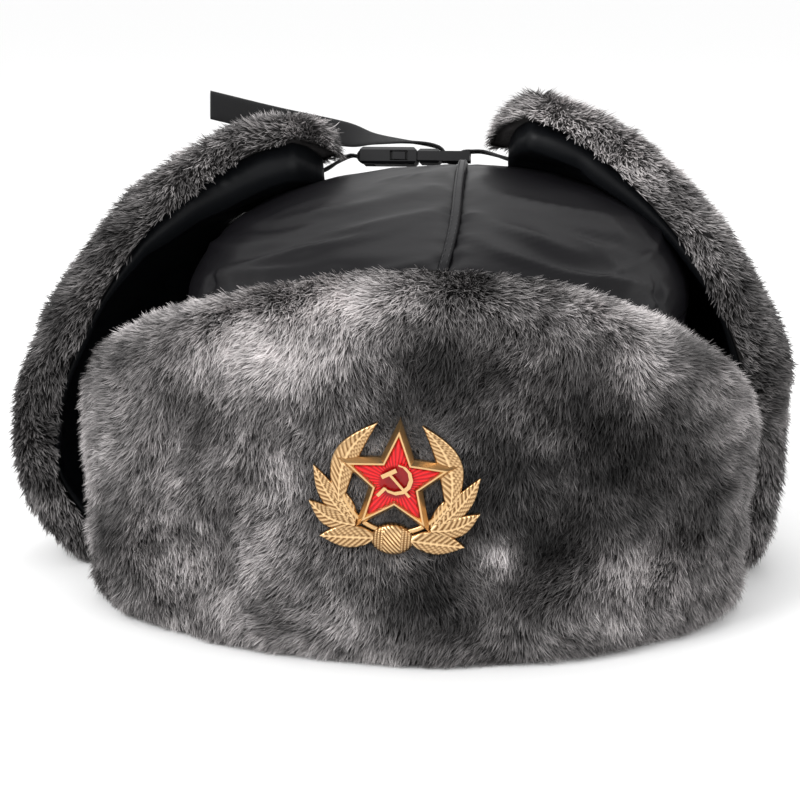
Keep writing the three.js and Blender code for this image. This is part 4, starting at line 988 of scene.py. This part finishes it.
def leaf_grid(leaf, side):
    """A leaf's face with its midrib and slanting veins, and its back on the plate."""
    base_x, base_y, tip_x, tip_y, width, bow, rise = leaf
    base = np.array([side * base_x, base_y]) * BADGE_WIDTH
    tip = np.array([side * tip_x, tip_y]) * BADGE_WIDTH
    along = unit(tip - base)
    across = np.array([-along[1], along[0]])
    t, s = np.meshgrid(np.linspace(0, 1, 49), np.linspace(-1, 1, 13), indexing="ij")
    swell = np.sin(np.pi * np.minimum(0.12 + 0.86 * t, 1))
    half = np.maximum(width * BADGE_WIDTH / 2 * swell, 0.22)
    length = np.linalg.norm(tip - base)
    bend = side * bow * BADGE_WIDTH * np.sin(np.pi * t)
    middle = base + (tip - base) * t[..., None] + across * bend[..., None]
    place = middle + across * (s * half)[..., None]
    phase = (t * length - 1.1 * np.abs(s) * half) / VEIN_PITCH
    vein = 0.5 + 0.5 * np.cos(2 * np.pi * phase)
    inside = 1 - smooth((np.abs(s) - 0.8) / 0.2)
    dome = np.sqrt(np.clip(1 - 0.92 * s ** 2, 0, 1))
    top = BADGE_PLATE * rise * (0.45 + 0.62 * dome) + VEIN_HEIGHT * vein * inside * (np.abs(s) > 0.09)
    top = top + 0.5 * np.exp(-((s * half / 0.3) ** 2)) * swell
    rim = np.exp(-(((np.abs(s) - 0.93) / 0.08) ** 2))
    top = top + 0.16 * rim
    face = np.concatenate([place, top[..., None]], -1)
    back = np.concatenate([place, np.zeros_like(top)[..., None]], -1)
    # Painted highlight on the veins, rim and midrib, and painted shade in the grooves beside the midrib
    ridge = np.exp(-((s * half / 0.28) ** 2))
    groove = np.exp(-(((np.abs(s * half) - 0.5) / 0.18) ** 2))
    return face, back, np.maximum(vein ** 1.5 * inside, np.maximum(rim, ridge)) - 0.7 * groove * (1 - vein)


def struck_piece(name, top, back, shine, wrap=False):
    """A gilt piece with painted highlights on its ridges and painted shade in its hollows."""
    points, faces = slab(top, back, wrap=wrap)
    piece = badge_piece(name, points, faces, STRUCK_GOLD)
    tone_and_painted_light = mix(np.array(GOLD_SHADED_HOLLOW), np.array(GOLD_LIT_RIDGE), np.clip(shine, 0, 1)[..., None])
    colours = np.ones((*tone_and_painted_light.shape[:-1], 4))
    colours[..., :3] = tone_and_painted_light
    colour_layer(piece, "relief", np.concatenate([colours.reshape(-1, 4)] * 2))
    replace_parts(piece, "badge_body")


def star_outline(radius):
    turn = np.radians(90 + 36 * np.arange(10))
    reach = np.where(np.arange(10) % 2, radius * STAR_WAIST, radius)
    return np.stack([reach * np.cos(turn), reach * np.sin(turn)], -1)


def star_inset(distance):
    """Scale of the star whose edges lie that far inside the full one."""
    waist = STAR_RADIUS * STAR_WAIST
    edge = math.sqrt(STAR_RADIUS ** 2 + waist ** 2 - 2 * STAR_RADIUS * waist * math.cos(math.radians(36)))
    reach = STAR_RADIUS * waist * math.sin(math.radians(36)) / edge
    return (reach - distance) / reach


def make_star():
    rings = [np.column_stack([star_outline(STAR_RADIUS * star_inset(inset)), np.full(10, height)])
             for inset, height in STAR_SECTION]
    points = np.concatenate(rings)
    faces = []
    for level in range(len(rings) - 1):
        for k in range(10):
            a, b = level * 10 + k, level * 10 + (k + 1) % 10
            faces.append((a, b, b + 10, a + 10))
    faces.append(tuple(range((len(rings) - 1) * 10, len(rings) * 10)))
    faces.append(tuple(range(9, -1, -1)))
    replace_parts(badge_piece("badge_star", points, faces, GOLD, flat=True), "badge_body")


def make_enamel():
    """Translucent red over a struck pattern of rays, with a darker round field in the middle and painted glints along
    the rays.
    """
    sectors = 360
    turn = np.linspace(0, 2 * np.pi, sectors + 1)[:-1]
    radius = STAR_RADIUS * star_inset(ENAMEL_INSET)
    corner = (np.degrees(turn) - 90) % 72
    corner = np.radians(np.minimum(corner, 72 - corner))
    waist = radius * STAR_WAIST
    reach = radius * waist * math.sin(math.radians(36)) / (
        waist * np.sin(math.radians(36) - corner) + radius * np.sin(corner)
    )
    share = np.linspace(0, 1, 15)
    r = reach[:, None] * share
    ray = 0.5 + 0.5 * np.cos(turn[:, None] * RAYS)
    field = smooth((r - FIELD_RADIUS) / 0.35)
    x, y = r * np.cos(turn)[:, None], r * np.sin(turn)[:, None]
    z = STAR_RISE - 0.35 + 0.14 * ray * field * np.clip(r / 6, 0, 1) - 0.3 * smooth((share - 0.93) / 0.07)
    top = np.stack(np.broadcast_arrays(x, y, z), -1)[:, ::-1]
    back = top.copy()
    back[..., 2] = STAR_RISE - 1.2
    points, faces = slab(top, back, wrap=True)
    piece = badge_piece("badge_enamel_face", points, faces, ENAMEL)
    bright = ((0.5 + 0.7 * ray) * field + 0.42 * (1 - field))[:, ::-1, None] * np.array(ENAMEL_RED)
    # Painted pale glints along the tops of the rays
    painted_glint = (ray ** 8 * field * 0.03)[:, ::-1, None] * np.array([1.0, 0.55, 0.5])
    colours = np.ones((*bright.shape[:2], 4))
    colours[..., :3] = bright + painted_glint
    colour_layer(piece, "tone_and_painted_light", np.concatenate([colours.reshape(-1, 4)] * 2))
    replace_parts(piece, "badge_enamel")


def make_binding():
    """The oval over the stems: raised bands with slanting cords between them."""
    turn, reach = np.meshgrid(np.linspace(0, 2 * np.pi, 121)[:-1], np.linspace(1, 0, 41), indexing="ij")
    x, y = BINDING["x"] * reach * np.cos(turn), BINDING["y"] * reach * np.sin(turn)
    dome = np.sqrt(np.clip(1 - reach ** 2, 0, 1))
    outside = smooth((np.abs(x) - BINDING["field"]) / 0.15)
    cords = 0.5 + 0.5 * np.cos(2 * np.pi * (0.72 * x + 0.69 * y) / BINDING["cord"])
    threads = 0.5 + 0.5 * np.cos(2 * np.pi * (np.abs(x) - BINDING["field"]) / BINDING["cord"] + np.pi)
    notches = 0.6 + 0.4 * np.cos(2 * np.pi * y / 0.6)
    z = 0.5 + BINDING["rise"] * dome + (0.34 * cords * (1 - outside) + 0.4 * threads * notches * outside) * dome
    top = np.stack([x, y - BINDING["drop"], z], -1)
    back = top.copy()
    back[..., 2] = 0
    # Painted highlight on the raised cords and threads, painted shade between them
    shine = mix(cords, threads * notches, outside)
    struck_piece("badge_binding", top, back, shine, wrap=True)


def make_wreath():
    for side in (1, -1):
        for k, leaf in enumerate(LEAVES):
            name = f"badge_leaf_{'left' if side > 0 else 'right'}_{k + 1}"
            face, back, shine = leaf_grid(leaf, side)
            struck_piece(name, face, back, shine)
    turn, share = np.meshgrid(
        np.radians(np.linspace(90 + WREATH_OPEN, 450 - WREATH_OPEN, 121)), np.linspace(-1, 1, 9), indexing="ij",
    )
    middle, half = (WREATH_INNER + WREATH_OUTER) / 2, (WREATH_OUTER - WREATH_INNER) / 2
    reach = middle + half * share
    height = BADGE_PLATE * (0.5 + 0.5 * np.sqrt(np.clip(1 - share ** 2, 0, 1)))
    top = np.stack([reach * np.cos(turn), reach * np.sin(turn), height], -1)[:, ::-1]
    back = top.copy()
    back[..., 2] = 0
    points, faces = slab(top, back)
    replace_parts(badge_piece("badge_stem_ring", points, faces, GOLD), "badge_body")


def dress_nodes():
    """CAD nodes whose shape is right keep it and get their finish."""
    for name, material in (("buckle_socket", PLASTIC), ("buckle_plug", PLASTIC), ("badge_emblem", GOLD)):
        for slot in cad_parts[name].material_slots:
            slot.material = material


# Camera, light and floor
def make_camera():
    back = Vector(view_axes()[2])
    data = bpy.data.cameras.new("camera")
    data.sensor_width = 36.0
    data.sensor_fit = "HORIZONTAL"
    data.lens = CAMERA["lens"]
    data.clip_start, data.clip_end = 0.01, 50.0
    camera = bpy.data.objects.new("camera", data)
    camera.location = (Vector(CAMERA["target"]) + back * CAMERA["distance"]) * MM
    camera.rotation_euler = (-back).to_track_quat("-Z", "Y").to_euler()
    bpy.context.scene.collection.objects.link(camera)
    bpy.context.scene.camera = camera


def make_studio():
    bpy.context.scene.view_settings.view_transform = "Standard"
    world = bpy.data.worlds.new("studio")
    world.use_nodes = True
    background = world.node_tree.nodes["Background"]
    background.inputs["Color"].default_value = (1, 1, 1, 1)
    background.inputs["Strength"].default_value = WORLD_STRENGTH
    bpy.context.scene.world = world
    material, _, _ = new_material("floor", (0.9, 0.9, 0.9), 0.9)
    reach = 40.0
    mesh = bpy.data.meshes.new("floor")
    mesh.from_pydata(
        [(-reach, -reach, 0), (reach, -reach, 0), (reach, reach, 0), (-reach, reach, 0)], [], [(0, 1, 2, 3)]
    )
    mesh.materials.append(material)
    floor = bpy.data.objects.new("floor", mesh)
    bpy.context.scene.collection.objects.link(floor)
    for name, place, size, power in LAMPS:
        data = bpy.data.lights.new(name, "AREA")
        data.shape = "DISK"
        data.size = size
        data.energy = power
        lamp = bpy.data.objects.new(name, data)
        lamp.location = place
        lamp.rotation_euler = (Vector(place) - Vector((0, 0, 0.07))).to_track_quat("Z", "Y").to_euler()
        bpy.context.scene.collection.objects.link(lamp)


make_camera()
make_studio()
dress_nodes()
make_crown()
make_seam_tape()
make_linings()
make_straps()
make_star()
make_enamel()
make_binding()
make_wreath()
make_fur()
